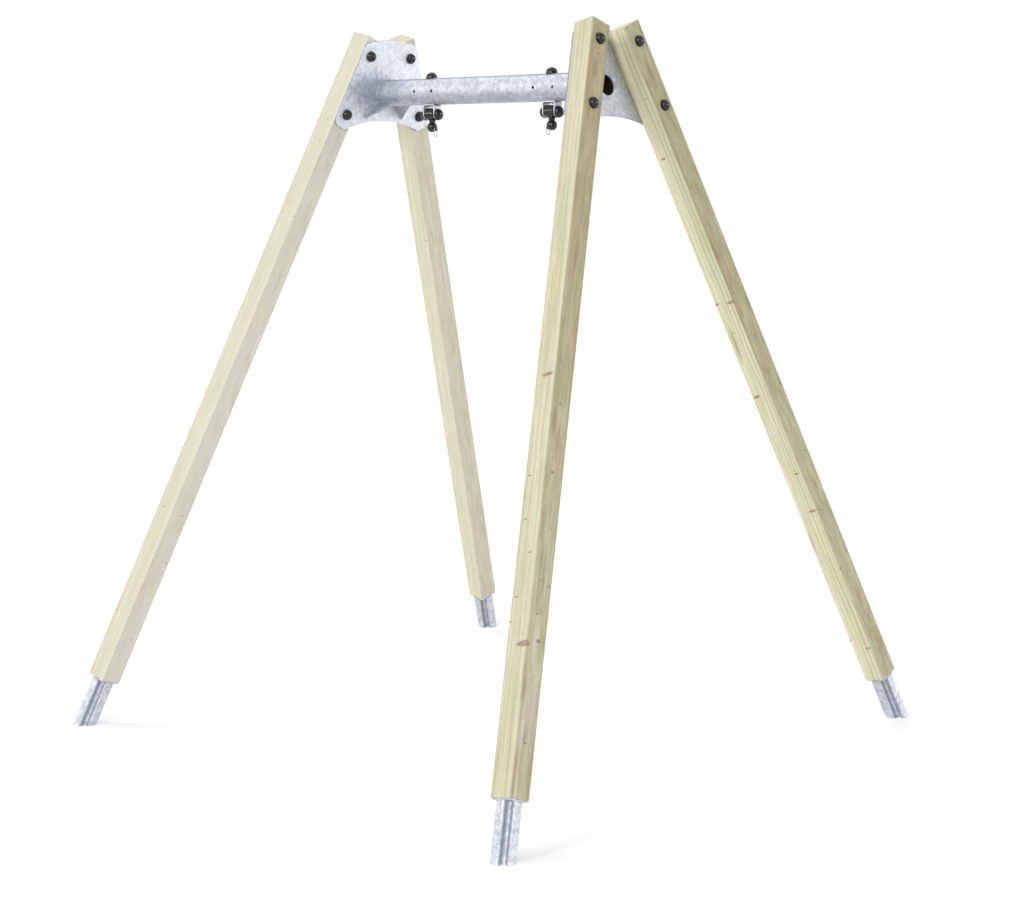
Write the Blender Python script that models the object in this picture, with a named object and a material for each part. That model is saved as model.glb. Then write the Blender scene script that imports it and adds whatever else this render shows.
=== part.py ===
"""A-frame swing frame: four timber posts, a galvanised crossbar with two end
plates, galvanised footings, and two swing hangers with black moulded joints.

Metres, +Z up. X runs along the crossbar, -Y is the front. The origin is on the
ground, midway between the four footings.
"""
import math

import bmesh
import bpy
from mathutils import Matrix, Vector

GAP = 0.0003                      # air left between pieces that touch

POST_SIDE = 0.095
POST_EDGE_RADIUS = 0.004
POST_ABOVE_BAR = 0.233            # post length above the level of the crossbar
POST_BAR_OFFSET = 0.1695          # post centre line from the plate's centre line
POST_SPREAD = math.radians(21.0)  # each post leans this far within its end plate
FRAME_LEAN = math.radians(11.9)   # each end frame leans in towards the other

BAR_HEIGHT = 2.615
BAR_SPAN = 1.232                  # between the inner faces of the end plates
BAR_RADIUS = 0.054
BAR_WALL = 0.004
BAR_SEGMENTS = 40

PLATE_THICKNESS = 0.008
PLATE_SETBACK = 0.003             # plate edge short of the post's outer edge
PLATE_CREST = 0.2195              # top of the plate above the crossbar axis
PLATE_CREST_RADIUS = 0.550
PLATE_BELLY = 0.118               # middle of the lower edge below the crossbar axis
PLATE_BELLY_RADIUS = 0.575
PLATE_FOOT_PAST_BOLT = 0.059
PLATE_FOOT_RADIUS = 0.030
PLATE_HEEL_RADIUS = 0.022
PLATE_SHOULDER_RADIUS = 0.020
PLATE_EYE_RADIUS = 0.0395         # opening in the plate at the end of the tube

GUSSET_THICKNESS = 0.008
GUSSET_ANGLE = math.radians(45.0)
GUSSET_ALONG_BAR = 0.116
GUSSET_REACH = 0.148              # tip of the gusset from the crossbar axis
GUSSET_TIP = 0.006                # blunt width left at each pointed end

BOLT_RADIUS = 0.006
BOLT_CLEARANCE = 0.0006
BOLT_UPPER = 0.160                # along the post, from the level of the crossbar
BOLT_LOWER = -0.102
BOLT_SEGMENTS = 12                # of bolts and of the holes for them
HEX_ACROSS_FLATS = 0.019
HEX_HEAD_HEIGHT = 0.0075
HEX_NUT_HEIGHT = 0.010
WASHER_RADIUS = 0.0165
WASHER_THICKNESS = 0.0025

POST_CAP_CLEARANCE = 0.0020       # round the washer, inside the cap
POST_CAP_HEADROOM = 0.0065        # from the nut to the crown, inside the cap
HANGER_CAP_CLEARANCE = 0.0033
AXLE_CAP_HEADROOM = 0.0050
BAR_CAP_HEADROOM = 0.0083
CAP_SKIRT = 0.0035
CAP_WALL = 0.0035
CAP_SEGMENTS = 12

SHOE_LENGTH = 0.20816             # post's lower end to the ground, on its centre line
SHOE_PLATE_SETBACK = 0.0025       # head plate short of the post's faces
SHOE_PLATE_THICKNESS = 0.005
SHOE_PLATE_CORNER = 0.006
SHOE_HALF_WIDTH = 0.0455          # centre of the profile to an arm's outer face
SHOE_ARM_HALF = 0.0193            # half the width of an arm's outer face
SHOE_GROOVE_DEPTH = 0.0210        # corner groove, from its mouth to its floor
SHOE_GROOVE_FLOOR = 0.0130
SHOE_EDGE_RADIUS = 0.0035
SHOE_WALL = 0.003
DOWEL_RADIUS = 0.008
DOWEL_LENGTH = 0.110
DOWEL_CLEARANCE = 0.0010

HANGER_SPACING = 0.676
SPARE_HOLE_RADIUS = 0.0062
SPARE_HOLE_OFFSET = 0.0515        # either side of a hanger, through the tube's flanks

BRACKET_WIDTH = 0.068             # outside of one cheek to outside of the other
BRACKET_DEPTH = 0.042
BRACKET_SHEET = 0.006
BRACKET_BEND_RADIUS = 0.009
BRACKET_STATIONS = 10
LOW_HEAD_RADIUS = 0.010
LOW_HEAD_HEIGHT = 0.0035

HUB_RADIUS = 0.0245
HUB_RISE = 0.0025                 # the hub's barrel sits a little above its axle
HUB_HEADROOM = 0.0029             # from the barrel to the bolt head above it
HUB_END_PLAY = 0.002
HUB_END_ROUND = 0.003
HUB_SEGMENTS = 24
NECK_RADIUS = 0.012
NECK_LENGTH = 0.0335              # axle to the lower end of the neck
NECK_FLARE = 0.0115               # radius of the hollow flare under the barrel
NECK_ROOT_RADIUS = 0.020

BALL_RADIUS = 0.0212
BALL_TOP_RIM = 0.0004             # flat top beyond the end of the neck
BALL_SOLE_RIM = 0.0015            # flat underside beyond the bolt's pocket
EAR_DROP = 0.0060                 # pin hole below the ball's centre
PIN_STANDOFF = 0.00067            # centre of the pin hole outside the ball's surface
EAR_THICKNESS = 0.0080
EAR_WALL = 0.0027                 # round the pin hole
EAR_DEPTH = 0.0095                # ear below its pin hole

SWIVEL_BOLT_RADIUS = 0.005
SWIVEL_CLEARANCE = 0.0005
SWIVEL_THREAD = 0.018             # length held in the neck
SWIVEL_HEAD_RADIUS = 0.007
SWIVEL_HEAD_HEIGHT = 0.005
SWIVEL_POCKET_DEPTH = 0.0107      # from the ball's underside up to the pocket's roof

WIRE_RADIUS = 0.0020
WIRE_CLEARANCE = 0.0005
WIRE_SIDES = 8
BAIL_TOP_HALF = 0.0088            # strand centre from the middle, at the pin
BAIL_FOOT_HALF = 0.0066
BAIL_FOOT_RADIUS = 0.0062
BAIL_LENGTH = 0.0310              # pin to the wire centre of the lower bend
BAIL_CORNER_RADIUS = 0.0035

LEFT = -1
RIGHT = 1
FRONT = -1
BACK = 1
SIDE_NAMES = {LEFT: "left", RIGHT: "right"}
ROW_NAMES = {FRONT: "front", BACK: "back"}
QUARTER = math.pi / 2.0


def clear_scene():
    """Remove every object that a new file or an earlier run left behind."""
    for item in list(bpy.data.objects):
        bpy.data.objects.remove(item, do_unlink=True)


def linear(channel):
    """One sRGB channel, 0 to 1, as a linear value."""
    if channel <= 0.04045:
        return channel / 12.92
    return ((channel + 0.055) / 1.055) ** 2.4


def make_material(name, srgb, roughness, metallic):
    """A plain Principled finish in an 8-bit sRGB colour."""
    material = bpy.data.materials.new(name)
    material.use_nodes = True
    shader = material.node_tree.nodes["Principled BSDF"]
    colour = [linear(channel / 255.0) for channel in srgb]
    shader.inputs["Base Color"].default_value = (*colour, 1.0)
    shader.inputs["Roughness"].default_value = roughness
    shader.inputs["Metallic"].default_value = metallic
    return material


def make_empty(name, parent, location, rotation=(0.0, 0.0, 0.0)):
    """A named axis that pieces are placed on."""
    empty = bpy.data.objects.new(name, None)
    bpy.context.collection.objects.link(empty)
    empty.parent = parent
    empty.location = location
    empty.rotation_euler = rotation
    return empty


def add_object(name, bm, parent=None, location=(0.0, 0.0, 0.0), rotation=(0.0, 0.0, 0.0)):
    """Turn a bmesh into a named object, placed under its parent."""
    bmesh.ops.recalc_face_normals(bm, faces=bm.faces)
    mesh = bpy.data.meshes.new(name)
    bm.to_mesh(mesh)
    bm.free()
    item = bpy.data.objects.new(name, mesh)
    bpy.context.collection.objects.link(item)
    item.parent = parent
    item.location = location
    item.rotation_euler = rotation
    return item


def finish(item, material, smooth_angle):
    """Give a piece its material, and shade it smooth across its gentle edges."""
    item.data.materials.append(material)
    item.data.shade_smooth()
    item.data.set_sharp_from_angle(angle=math.radians(smooth_angle))
    return item


def combine(item, bm, label, operation):
    """Join a piece with another shape, or cut it, in the piece's own axes."""
    tool = add_object(f"{item.name}_{label}", bm, item.parent, item.location)
    tool.rotation_euler = item.rotation_euler
    tool.hide_render = True
    tool.display_type = "WIRE"
    boolean = item.modifiers.new(label, "BOOLEAN")
    boolean.operation = operation
    boolean.solver = "EXACT"
    boolean.object = tool


def arc(centre, radius, start, end, steps):
    """Points on a circular arc from one angle to another, both ends included."""
    points = []
    for step in range(steps + 1):
        angle = start + (end - start) * step / steps
        x = centre[0] + radius * math.cos(angle)
        y = centre[1] + radius * math.sin(angle)
        points.append((x, y))
    return points


def round_corners(corners, radii, steps):
    """A closed outline whose corners are replaced with tangent arcs."""
    outline = []
    count = len(corners)
    for index, corner in enumerate(corners):
        here = Vector(corner)
        before = (Vector(corners[index - 1]) - here).normalized()
        after = (Vector(corners[(index + 1) % count]) - here).normalized()
        half = before.angle(after) / 2.0
        radius = radii[index]
        centre = here + (before + after).normalized() * radius / math.sin(half)
        first = here + before * radius / math.tan(half) - centre
        sweep = math.pi - 2.0 * half
        if before.x * after.y - before.y * after.x > 0.0:
            sweep = -sweep
        for step in range(steps + 1):
            turned = Matrix.Rotation(sweep * step / steps, 2) @ first
            outline.append(tuple(centre + turned))
    return outline


def inset(corners, distance):
    """The corners of an anticlockwise outline, moved in by a wall's thickness."""
    moved = []
    count = len(corners)
    for index, corner in enumerate(corners):
        here = Vector(corner)
        arriving = (here - Vector(corners[index - 1])).normalized()
        leaving = (Vector(corners[(index + 1) % count]) - here).normalized()
        inward = Vector((-arriving.y - leaving.y, arriving.x + leaving.x))
        moved.append(tuple(here + inward * distance / (1.0 + arriving.dot(leaving))))
    return moved


def join_rings(bm, rings, closed):
    """Skin a row of rings of equal count; a closed row returns to its first ring."""
    following = rings[1:] + rings[:1]
    if not closed:
        following = rings[1:]
        bm.faces.new(rings[0])
        bm.faces.new(rings[-1])
    for ring, beyond in zip(rings, following):
        count = len(ring)
        for index in range(count):
            after = (index + 1) % count
            bm.faces.new((ring[index], ring[after], beyond[after], beyond[index]))


def prism(outline, start, end, axis="Z"):
    """A flat outline extruded between two levels of one axis."""
    order = {"Z": (0, 1, 2), "X": (2, 0, 1), "Y": (0, 2, 1)}[axis]
    bm = bmesh.new()
    rings = []
    for level in (start, end):
        ring = []
        for across, up in outline:
            values = (across, up, level)
            ring.append(bm.verts.new([values[slot] for slot in order]))
        rings.append(ring)
    join_rings(bm, rings, False)
    return bm


def turned(profile, segments):
    """A solid of revolution about Z.

    Each entry is a radius and a height. A third value of True makes that ring a
    hexagon, and the radius is then its half width across flats. A profile that
    starts and ends off the axis closes on itself round a bore.
    """
    bm = bmesh.new()
    rings = []
    for radius, height, *hexagonal in profile:
        if radius < 1e-9:
            rings.append([bm.verts.new((0.0, 0.0, height))])
            continue
        ring = []
        for index in range(segments):
            angle = math.tau * index / segments
            reach = radius
            if hexagonal:
                reach = radius / math.cos(angle % (math.pi / 3.0) - math.pi / 6.0)
            ring.append(bm.verts.new((reach * math.cos(angle), reach * math.sin(angle), height)))
        rings.append(ring)
    following = rings[1:]
    if len(rings[0]) > 1:
        following = rings[1:] + rings[:1]
    for lower, upper in zip(rings, following):
        for index in range(segments):
            after = (index + 1) % segments
            if len(lower) == 1:
                bm.faces.new((lower[0], upper[after], upper[index]))
            elif len(upper) == 1:
                bm.faces.new((lower[index], lower[after], upper[0]))
            else:
                bm.faces.new((lower[index], lower[after], upper[after], upper[index]))
    return bm


def rod(radius, start, end, segments, axis="Z", middle=(0.0, 0.0, 0.0)):
    """A plain round bar along one axis, used whole or as a drill."""
    bm = turned([(0.0, start), (radius, start), (radius, end), (0.0, end)], segments)
    if axis == "X":
        turn = Matrix.Rotation(QUARTER, 4, "Y")
        bmesh.ops.transform(bm, matrix=turn, verts=bm.verts)
    elif axis == "Y":
        turn = Matrix.Rotation(-QUARTER, 4, "X")
        bmesh.ops.transform(bm, matrix=turn, verts=bm.verts)
    bmesh.ops.translate(bm, vec=middle, verts=bm.verts)
    return bm


def gather(shapes):
    """Several separate shapes as one cutter."""
    whole = bmesh.new()
    for shape in shapes:
        mesh = bpy.data.meshes.new("shape")
        shape.to_mesh(mesh)
        shape.free()
        whole.from_mesh(mesh)
        bpy.data.meshes.remove(mesh)
    return whole


def post_centre_offset():
    """From a plate's inner face to the centre of the post behind it."""
    return PLATE_THICKNESS + GAP + POST_SIDE / 2.0


def ground_level(x, y, row):
    """Where a line along a post meets the ground, in the axes of the post's line."""
    drop = BAR_HEIGHT + x * math.sin(FRAME_LEAN)
    along = drop / (math.cos(FRAME_LEAN) * math.cos(POST_SPREAD))
    return -along - row * y * math.tan(POST_SPREAD)


def post_foot():
    """Lower end of a post, along it from the level of the crossbar."""
    return ground_level(post_centre_offset(), 0.0, 0) + SHOE_LENGTH


def build_post(name, line, material):
    """One planed square post with eased edges, bored for its bolts and its dowel."""
    half = POST_SIDE / 2.0
    corners = [(half, half), (-half, half), (-half, -half), (half, -half)]
    outline = round_corners(corners, [POST_EDGE_RADIUS] * 4, 3)
    bottom = post_foot()
    bm = prism(outline, bottom, POST_ABOVE_BAR)
    post = add_object(name, bm, line, (post_centre_offset(), 0.0, 0.0))
    hole = BOLT_RADIUS + BOLT_CLEARANCE
    drills = []
    for level in (BOLT_UPPER, BOLT_LOWER):
        place = (0.0, 0.0, level)
        drills.append(rod(hole, -POST_SIDE, POST_SIDE, BOLT_SEGMENTS, "X", place))
    top = bottom + DOWEL_LENGTH + DOWEL_CLEARANCE
    socket = DOWEL_RADIUS + DOWEL_CLEARANCE
    drills.append(rod(socket, bottom - POST_SIDE, top, BOLT_SEGMENTS))
    combine(post, gather(drills), "holes", "DIFFERENCE")
    finish(post, material, 35.0)


def travel(origin, heading, centre, reach):
    """How far along a line, from its origin, it leaves a circle of a given reach."""
    away = origin - centre
    half = away.dot(heading)
    return -half + math.sqrt(half * half - away.length_squared + reach * reach)


def plate_outline():
    """End plate: arched top, sides along the posts, rounded feet, hollowed lower edge."""
    down = Vector((math.sin(POST_SPREAD), -math.cos(POST_SPREAD)))
    out = Vector((math.cos(POST_SPREAD), math.sin(POST_SPREAD)))
    margin = POST_SIDE / 2.0 - PLATE_SETBACK
    crest = Vector((0.0, PLATE_CREST - PLATE_CREST_RADIUS))
    belly = Vector((0.0, -PLATE_BELLY - PLATE_BELLY_RADIUS))
    bolt = Vector((POST_BAR_OFFSET, 0.0)) + down * -BOLT_LOWER

    start = bolt + out * (margin - PLATE_SHOULDER_RADIUS)
    rise = travel(start, -down, crest, PLATE_CREST_RADIUS - PLATE_SHOULDER_RADIUS)
    shoulder = start - down * rise
    turn = math.atan2(shoulder.y - crest.y, shoulder.x)
    outline = arc(crest, PLATE_CREST_RADIUS, QUARTER, turn, 6)
    outline += arc(shoulder, PLATE_SHOULDER_RADIUS, turn, POST_SPREAD, 4)[1:]

    across = out * (margin - PLATE_FOOT_RADIUS)
    foot = bolt + across + down * (PLATE_FOOT_PAST_BOLT - PLATE_FOOT_RADIUS)
    outline += arc(foot, PLATE_FOOT_RADIUS, POST_SPREAD, POST_SPREAD - QUARTER, 6)

    start = bolt + down * (PLATE_FOOT_PAST_BOLT - PLATE_HEEL_RADIUS)
    heel = start + out * travel(start, out, belly, PLATE_BELLY_RADIUS + PLATE_HEEL_RADIUS)
    turn = math.atan2(belly.y - heel.y, belly.x - heel.x)
    outline += arc(heel, PLATE_HEEL_RADIUS, POST_SPREAD - QUARTER, turn, 4)
    outline += arc(belly, PLATE_BELLY_RADIUS, turn + math.pi, QUARTER, 7)[1:]
    return outline + [(-x, y) for x, y in outline[-2:0:-1]]


def build_end_plate(name, frame, material):
    """The flat head plate of one end frame, welded to the end of the tube."""
    plate = add_object(name, prism(plate_outline(), 0.0, PLATE_THICKNESS, "X"), frame)
    start = -PLATE_THICKNESS
    end = 2.0 * PLATE_THICKNESS
    drills = [rod(PLATE_EYE_RADIUS, start, end, 32, "X")]
    hole = BOLT_RADIUS + BOLT_CLEARANCE
    for row in (FRONT, BACK):
        for along in (BOLT_UPPER, BOLT_LOWER):
            across = row * (POST_BAR_OFFSET - along * math.sin(POST_SPREAD))
            place = (0.0, across, along * math.cos(POST_SPREAD))
            drills.append(rod(hole, start, end, BOLT_SEGMENTS, "X", place))
    combine(plate, gather(drills), "holes", "DIFFERENCE")
    finish(plate, material, 25.0)


def plate_face(up):
    """Middle of the frame to an end plate's inner face, at a height from the bar's axis."""
    lean = up * math.tan(FRAME_LEAN)
    return BAR_SPAN / 2.0 - lean - GAP / math.cos(FRAME_LEAN)


def build_crossbar(name, bar, material):
    """The tube: ends cut to the leaning plates, holes for hangers and spare holes."""
    bm = bmesh.new()
    inner = BAR_RADIUS - BAR_WALL
    rings = []
    walls = ((BAR_RADIUS, LEFT), (BAR_RADIUS, RIGHT), (inner, RIGHT), (inner, LEFT))
    for radius, side in walls:
        circle = arc((0.0, 0.0), radius, 0.0, math.tau, BAR_SEGMENTS)[:-1]
        rings.append([bm.verts.new((side * plate_face(z), y, z)) for y, z in circle])
    join_rings(bm, rings, True)
    tube = add_object(name, bm, bar)
    reach = 2.0 * BAR_RADIUS
    hole = BOLT_RADIUS + BOLT_CLEARANCE
    drills = []
    for side in (LEFT, RIGHT):
        middle = side * HANGER_SPACING / 2.0
        drills.append(rod(hole, -reach, reach, BOLT_SEGMENTS, "Z", (middle, 0.0, 0.0)))
        for offset in (SPARE_HOLE_OFFSET, -SPARE_HOLE_OFFSET):
            place = (middle + offset, 0.0, 0.0)
            drills.append(rod(SPARE_HOLE_RADIUS, -reach, reach, BOLT_SEGMENTS, "Y", place))
    combine(tube, gather(drills), "holes", "DIFFERENCE")
    finish(tube, material, 25.0)


def build_gusset(name, bar, side, row, material):
    """A triangular web between tube and plate, in a plane through the tube's axis."""
    root = BAR_RADIUS + GAP
    corners = [
        (0.0, root),
        (0.0, GUSSET_REACH),
        (GUSSET_TIP, GUSSET_REACH),
        (GUSSET_ALONG_BAR, root + GUSSET_TIP),
        (GUSSET_ALONG_BAR, root),
    ]
    sine = math.sin(GUSSET_ANGLE)
    cosine = math.cos(GUSSET_ANGLE)
    bm = bmesh.new()
    rings = []
    for half in (-GUSSET_THICKNESS / 2.0, GUSSET_THICKNESS / 2.0):
        ring = []
        for inward, reach in corners:
            y = row * (reach * sine + half * cosine)
            z = -reach * cosine + half * sine
            ring.append(bm.verts.new((side * (plate_face(z) - inward), y, z)))
        rings.append(ring)
    join_rings(bm, rings, False)
    finish(add_object(name, bm, bar), material, 25.0)


def shoe_corners():
    """Section of the footing: a square with a flat-floored groove at each corner."""
    root_two = math.sqrt(2.0)
    mouth = (SHOE_HALF_WIDTH + SHOE_ARM_HALF) / root_two
    floor = mouth - SHOE_GROOVE_DEPTH
    near = (floor - SHOE_GROOVE_FLOOR / 2.0) / root_two
    far = (floor + SHOE_GROOVE_FLOOR / 2.0) / root_two
    corners = []
    for quadrant in range(4):
        turn = Matrix.Rotation(quadrant * QUARTER, 2)
        corners.append(tuple(turn @ Vector((SHOE_HALF_WIDTH, SHOE_ARM_HALF))))
        corners.append(tuple(turn @ Vector((far, near))))
        corners.append(tuple(turn @ Vector((near, far))))
        corners.append(tuple(turn @ Vector((SHOE_ARM_HALF, SHOE_HALF_WIDTH))))
    return corners


def shoe_prism(outline, top, row, below_ground):
    """The footing's section drawn along the post, with its lower end cut level."""
    bm = bmesh.new()
    lower = []
    upper = []
    for x, y in outline:
        foot = ground_level(post_centre_offset() + x, y, row) - below_ground
        lower.append(bm.verts.new((x, y, foot)))
        upper.append(bm.verts.new((x, y, top)))
    join_rings(bm, [lower, upper], False)
    return bm


def build_footing(name, line, row, material):
    """A folded steel anchor in line with its post: head plate above, dowel up the post."""
    seat = post_foot() - GAP
    underside = seat - SHOE_PLATE_THICKNESS
    within = seat - SHOE_PLATE_THICKNESS / 2.0
    corners = shoe_corners()
    outline = round_corners(corners, [SHOE_EDGE_RADIUS] * len(corners), 2)
    place = (post_centre_offset(), 0.0, 0.0)
    shoe = add_object(name, shoe_prism(outline, within, row, 0.0), line, place)

    half = POST_SIDE / 2.0 - SHOE_PLATE_SETBACK
    square = [(half, half), (-half, half), (-half, -half), (half, -half)]
    plate = prism(round_corners(square, [SHOE_PLATE_CORNER] * 4, 3), underside, seat)
    combine(shoe, plate, "head_plate", "UNION")
    dowel = rod(DOWEL_RADIUS, within, seat + GAP + DOWEL_LENGTH, BOLT_SEGMENTS)
    combine(shoe, dowel, "dowel", "UNION")
    hollow = shoe_prism(inset(corners, SHOE_WALL), underside, row, POST_SIDE)
    combine(shoe, hollow, "hollow", "DIFFERENCE")
    finish(shoe, material, 35.0)


def nut_end(face):
    """Washer and nut, flush with the bolt's end, on the face that they tighten on."""
    flats = HEX_ACROSS_FLATS / 2.0
    washer = face + WASHER_THICKNESS
    nut = washer + HEX_NUT_HEIGHT
    profile = [(WASHER_RADIUS, face), (WASHER_RADIUS, washer)]
    return profile + [(flats, washer, True), (flats, nut, True), (0.0, nut)]


def build_bolt(name, grip, parent, place, turn, material):
    """A hexagon bolt through a grip, its head below the grip's first face."""
    flats = HEX_ACROSS_FLATS / 2.0
    head = -GAP - HEX_HEAD_HEIGHT
    profile = [(0.0, head), (flats, head, True), (flats, -GAP, True)]
    profile += [(BOLT_RADIUS, -GAP), (BOLT_RADIUS, grip + GAP)]
    profile += nut_end(grip + GAP)
    bolt = add_object(name, turned(profile, BOLT_SEGMENTS), parent, place, turn)
    finish(bolt, material, 35.0)


def cap_size(clearance, headroom):
    """Outer radius and height of a cap over a washer and nut."""
    radius = WASHER_RADIUS + clearance + CAP_WALL
    height = WASHER_THICKNESS + HEX_NUT_HEIGHT + headroom + CAP_WALL
    return radius, height


def cap_profile(radius, height, base):
    """A hollow dome on a short skirt, from the crown's inside round to its outside."""
    within = radius - CAP_WALL
    roof = height - CAP_WALL
    shoulder = math.sqrt(0.5)
    profile = [(0.0, roof), (within * shoulder, roof * shoulder)]
    profile += [(within, base), (radius, base)]
    for across, up in arc((0.0, 0.0), 1.0, 0.0, QUARTER, 4):
        profile.append((radius * across, CAP_SKIRT + (height - CAP_SKIRT) * up))
    return profile


def build_cap(name, size, parent, place, turn, material):
    """A moulded cap over a bolt head or nut."""
    bm = turned(cap_profile(*size, 0.0), CAP_SEGMENTS)
    finish(add_object(name, bm, parent, place, turn), material, 50.0)


def build_bar_cap(name, hanger, material):
    """The cap on top of the tube, its skirt cut to the tube's curve."""
    radius, height = cap_size(HANGER_CAP_CLEARANCE, BAR_CAP_HEADROOM)
    base = math.sqrt(BAR_RADIUS ** 2 - radius ** 2) - BAR_RADIUS - CAP_SKIRT
    bm = turned(cap_profile(radius, height, base), CAP_SEGMENTS)
    cap = add_object(name, bm, hanger, (0.0, 0.0, BAR_RADIUS))
    reach = 2.0 * radius
    middle = (0.0, 0.0, -BAR_RADIUS)
    tube = rod(BAR_RADIUS + GAP, -reach, reach, BAR_SEGMENTS, "X", middle)
    combine(cap, tube, "seat", "DIFFERENCE")
    finish(cap, material, 50.0)


def axle_drop():
    """The axle below the tube's axis: bracket, bolt head and hub fit above it."""
    web = GAP + BRACKET_SHEET + GAP + LOW_HEAD_HEIGHT
    return BAR_RADIUS + web + HUB_HEADROOM + HUB_RADIUS + HUB_RISE


def build_bracket(name, hanger, material):
    """A folded strap: a web that follows the tube, between two round-ended cheeks."""
    half_depth = BRACKET_DEPTH / 2.0
    half_width = BRACKET_WIDTH / 2.0
    bend_x = half_width - BRACKET_BEND_RADIUS
    inside_bend = BRACKET_BEND_RADIUS - BRACKET_SHEET
    inside = half_width - BRACKET_SHEET
    seat = BAR_RADIUS + GAP
    bm = bmesh.new()
    sections = []
    for station in range(BRACKET_STATIONS + 1):
        y = half_depth * math.sin(math.pi * station / BRACKET_STATIONS - QUARTER)
        bend_z = -math.sqrt(seat ** 2 - y ** 2) - BRACKET_BEND_RADIUS
        foot = -axle_drop() - math.sqrt(max(half_depth ** 2 - y ** 2, 0.0))
        loop = [(half_width, foot)]
        loop += arc((bend_x, bend_z), BRACKET_BEND_RADIUS, 0.0, QUARTER, 3)
        loop += arc((-bend_x, bend_z), BRACKET_BEND_RADIUS, QUARTER, math.pi, 3)
        loop += [(-half_width, foot), (-inside, foot)]
        loop += arc((-bend_x, bend_z), inside_bend, math.pi, QUARTER, 2)
        loop += arc((bend_x, bend_z), inside_bend, QUARTER, 0.0, 2)
        loop += [(inside, foot)]
        sections.append([bm.verts.new((x, y, z)) for x, z in loop])
    join_rings(bm, sections, False)
    bracket = add_object(name, bm, hanger)
    hole = BOLT_RADIUS + BOLT_CLEARANCE
    web = rod(hole, -seat - 2.0 * BRACKET_SHEET, 0.0, BOLT_SEGMENTS)
    place = (0.0, 0.0, -axle_drop())
    axle = rod(hole, -BRACKET_WIDTH, BRACKET_WIDTH, BOLT_SEGMENTS, "X", place)
    combine(bracket, gather([web, axle]), "holes", "DIFFERENCE")
    finish(bracket, material, 35.0)


def build_bracket_bolt(name, hanger, material):
    """Low-headed bolt up through bracket and tube, with its nut on top of the tube."""
    face = -BAR_RADIUS - GAP - BRACKET_SHEET - GAP
    head = face - LOW_HEAD_HEIGHT
    crest = BAR_RADIUS + GAP
    profile = [(0.0, head), (LOW_HEAD_RADIUS, head), (LOW_HEAD_RADIUS, face)]
    profile += [(BOLT_RADIUS, face), (BOLT_RADIUS, crest)]
    profile += nut_end(crest)
    finish(add_object(name, turned(profile, BOLT_SEGMENTS), hanger), material, 35.0)


def build_hub(name, axis, material):
    """A barrel on the axle, with a flared neck below it that holds the swivel bolt."""
    half = BRACKET_WIDTH / 2.0 - BRACKET_SHEET - HUB_END_PLAY
    flat = half - HUB_END_ROUND
    ring = HUB_RADIUS - HUB_END_ROUND
    side = [(0.0, half)]
    for across, along in arc((ring, flat), HUB_END_ROUND, QUARTER, 0.0, 2):
        side.append((across, along))
    profile = [(across, -along) for across, along in side] + side[::-1]
    bm = turned(profile, HUB_SEGMENTS)
    bmesh.ops.transform(bm, matrix=Matrix.Rotation(QUARTER, 4, "Y"), verts=bm.verts)
    bmesh.ops.translate(bm, vec=(0.0, 0.0, HUB_RISE), verts=bm.verts)
    hub = add_object(name, bm, axis)

    flare_x = NECK_RADIUS + NECK_FLARE
    stop = math.acos((flare_x - NECK_ROOT_RADIUS) / NECK_FLARE)
    neck = [(0.0, -NECK_LENGTH)]
    neck += arc((flare_x, -NECK_LENGTH), NECK_FLARE, math.pi, math.pi - stop, 5)
    rim = math.sqrt(HUB_RADIUS ** 2 - NECK_ROOT_RADIUS ** 2)
    neck += [(NECK_ROOT_RADIUS, HUB_RISE - rim / 2.0), (0.0, HUB_RISE - rim / 2.0)]
    combine(hub, turned(neck, HUB_SEGMENTS), "neck", "UNION")
    bore = rod(BOLT_RADIUS + GAP, -BRACKET_WIDTH, BRACKET_WIDTH, BOLT_SEGMENTS, "X")
    top = SWIVEL_THREAD - NECK_LENGTH
    below = -2.0 * NECK_LENGTH
    socket = rod(SWIVEL_BOLT_RADIUS + GAP, below, top, BOLT_SEGMENTS)
    combine(hub, gather([bore, socket]), "bores", "DIFFERENCE")
    finish(hub, material, 40.0)


def ball_top():
    """The ball's flat top above its centre."""
    return math.sqrt(BALL_RADIUS ** 2 - (NECK_RADIUS + BALL_TOP_RIM) ** 2)


def ball_sole():
    """The ball's flat underside below its centre."""
    flat = SWIVEL_HEAD_RADIUS + SWIVEL_CLEARANCE + BALL_SOLE_RIM
    return math.sqrt(BALL_RADIUS ** 2 - flat ** 2)


def ball_drop():
    """The ball's centre below the axle."""
    return NECK_LENGTH + GAP + ball_top()


def pin_offset():
    """The ear's pin hole from the swivel axis."""
    return math.sqrt(BALL_RADIUS ** 2 - EAR_DROP ** 2) + PIN_STANDOFF


def build_swivel_bolt(name, axis, material):
    """The bolt that the ball turns on: shank up into the neck, head in the ball."""
    roof = SWIVEL_POCKET_DEPTH - ball_drop() - ball_sole()
    head = roof - GAP - SWIVEL_HEAD_HEIGHT
    top = SWIVEL_THREAD - NECK_LENGTH - GAP
    profile = [(0.0, head), (SWIVEL_HEAD_RADIUS, head), (SWIVEL_HEAD_RADIUS, roof - GAP)]
    profile += [(SWIVEL_BOLT_RADIUS, roof - GAP), (SWIVEL_BOLT_RADIUS, top), (0.0, top)]
    bolt = add_object(name, turned(profile, BOLT_SEGMENTS), axis)
    finish(bolt, material, 40.0)


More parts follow.
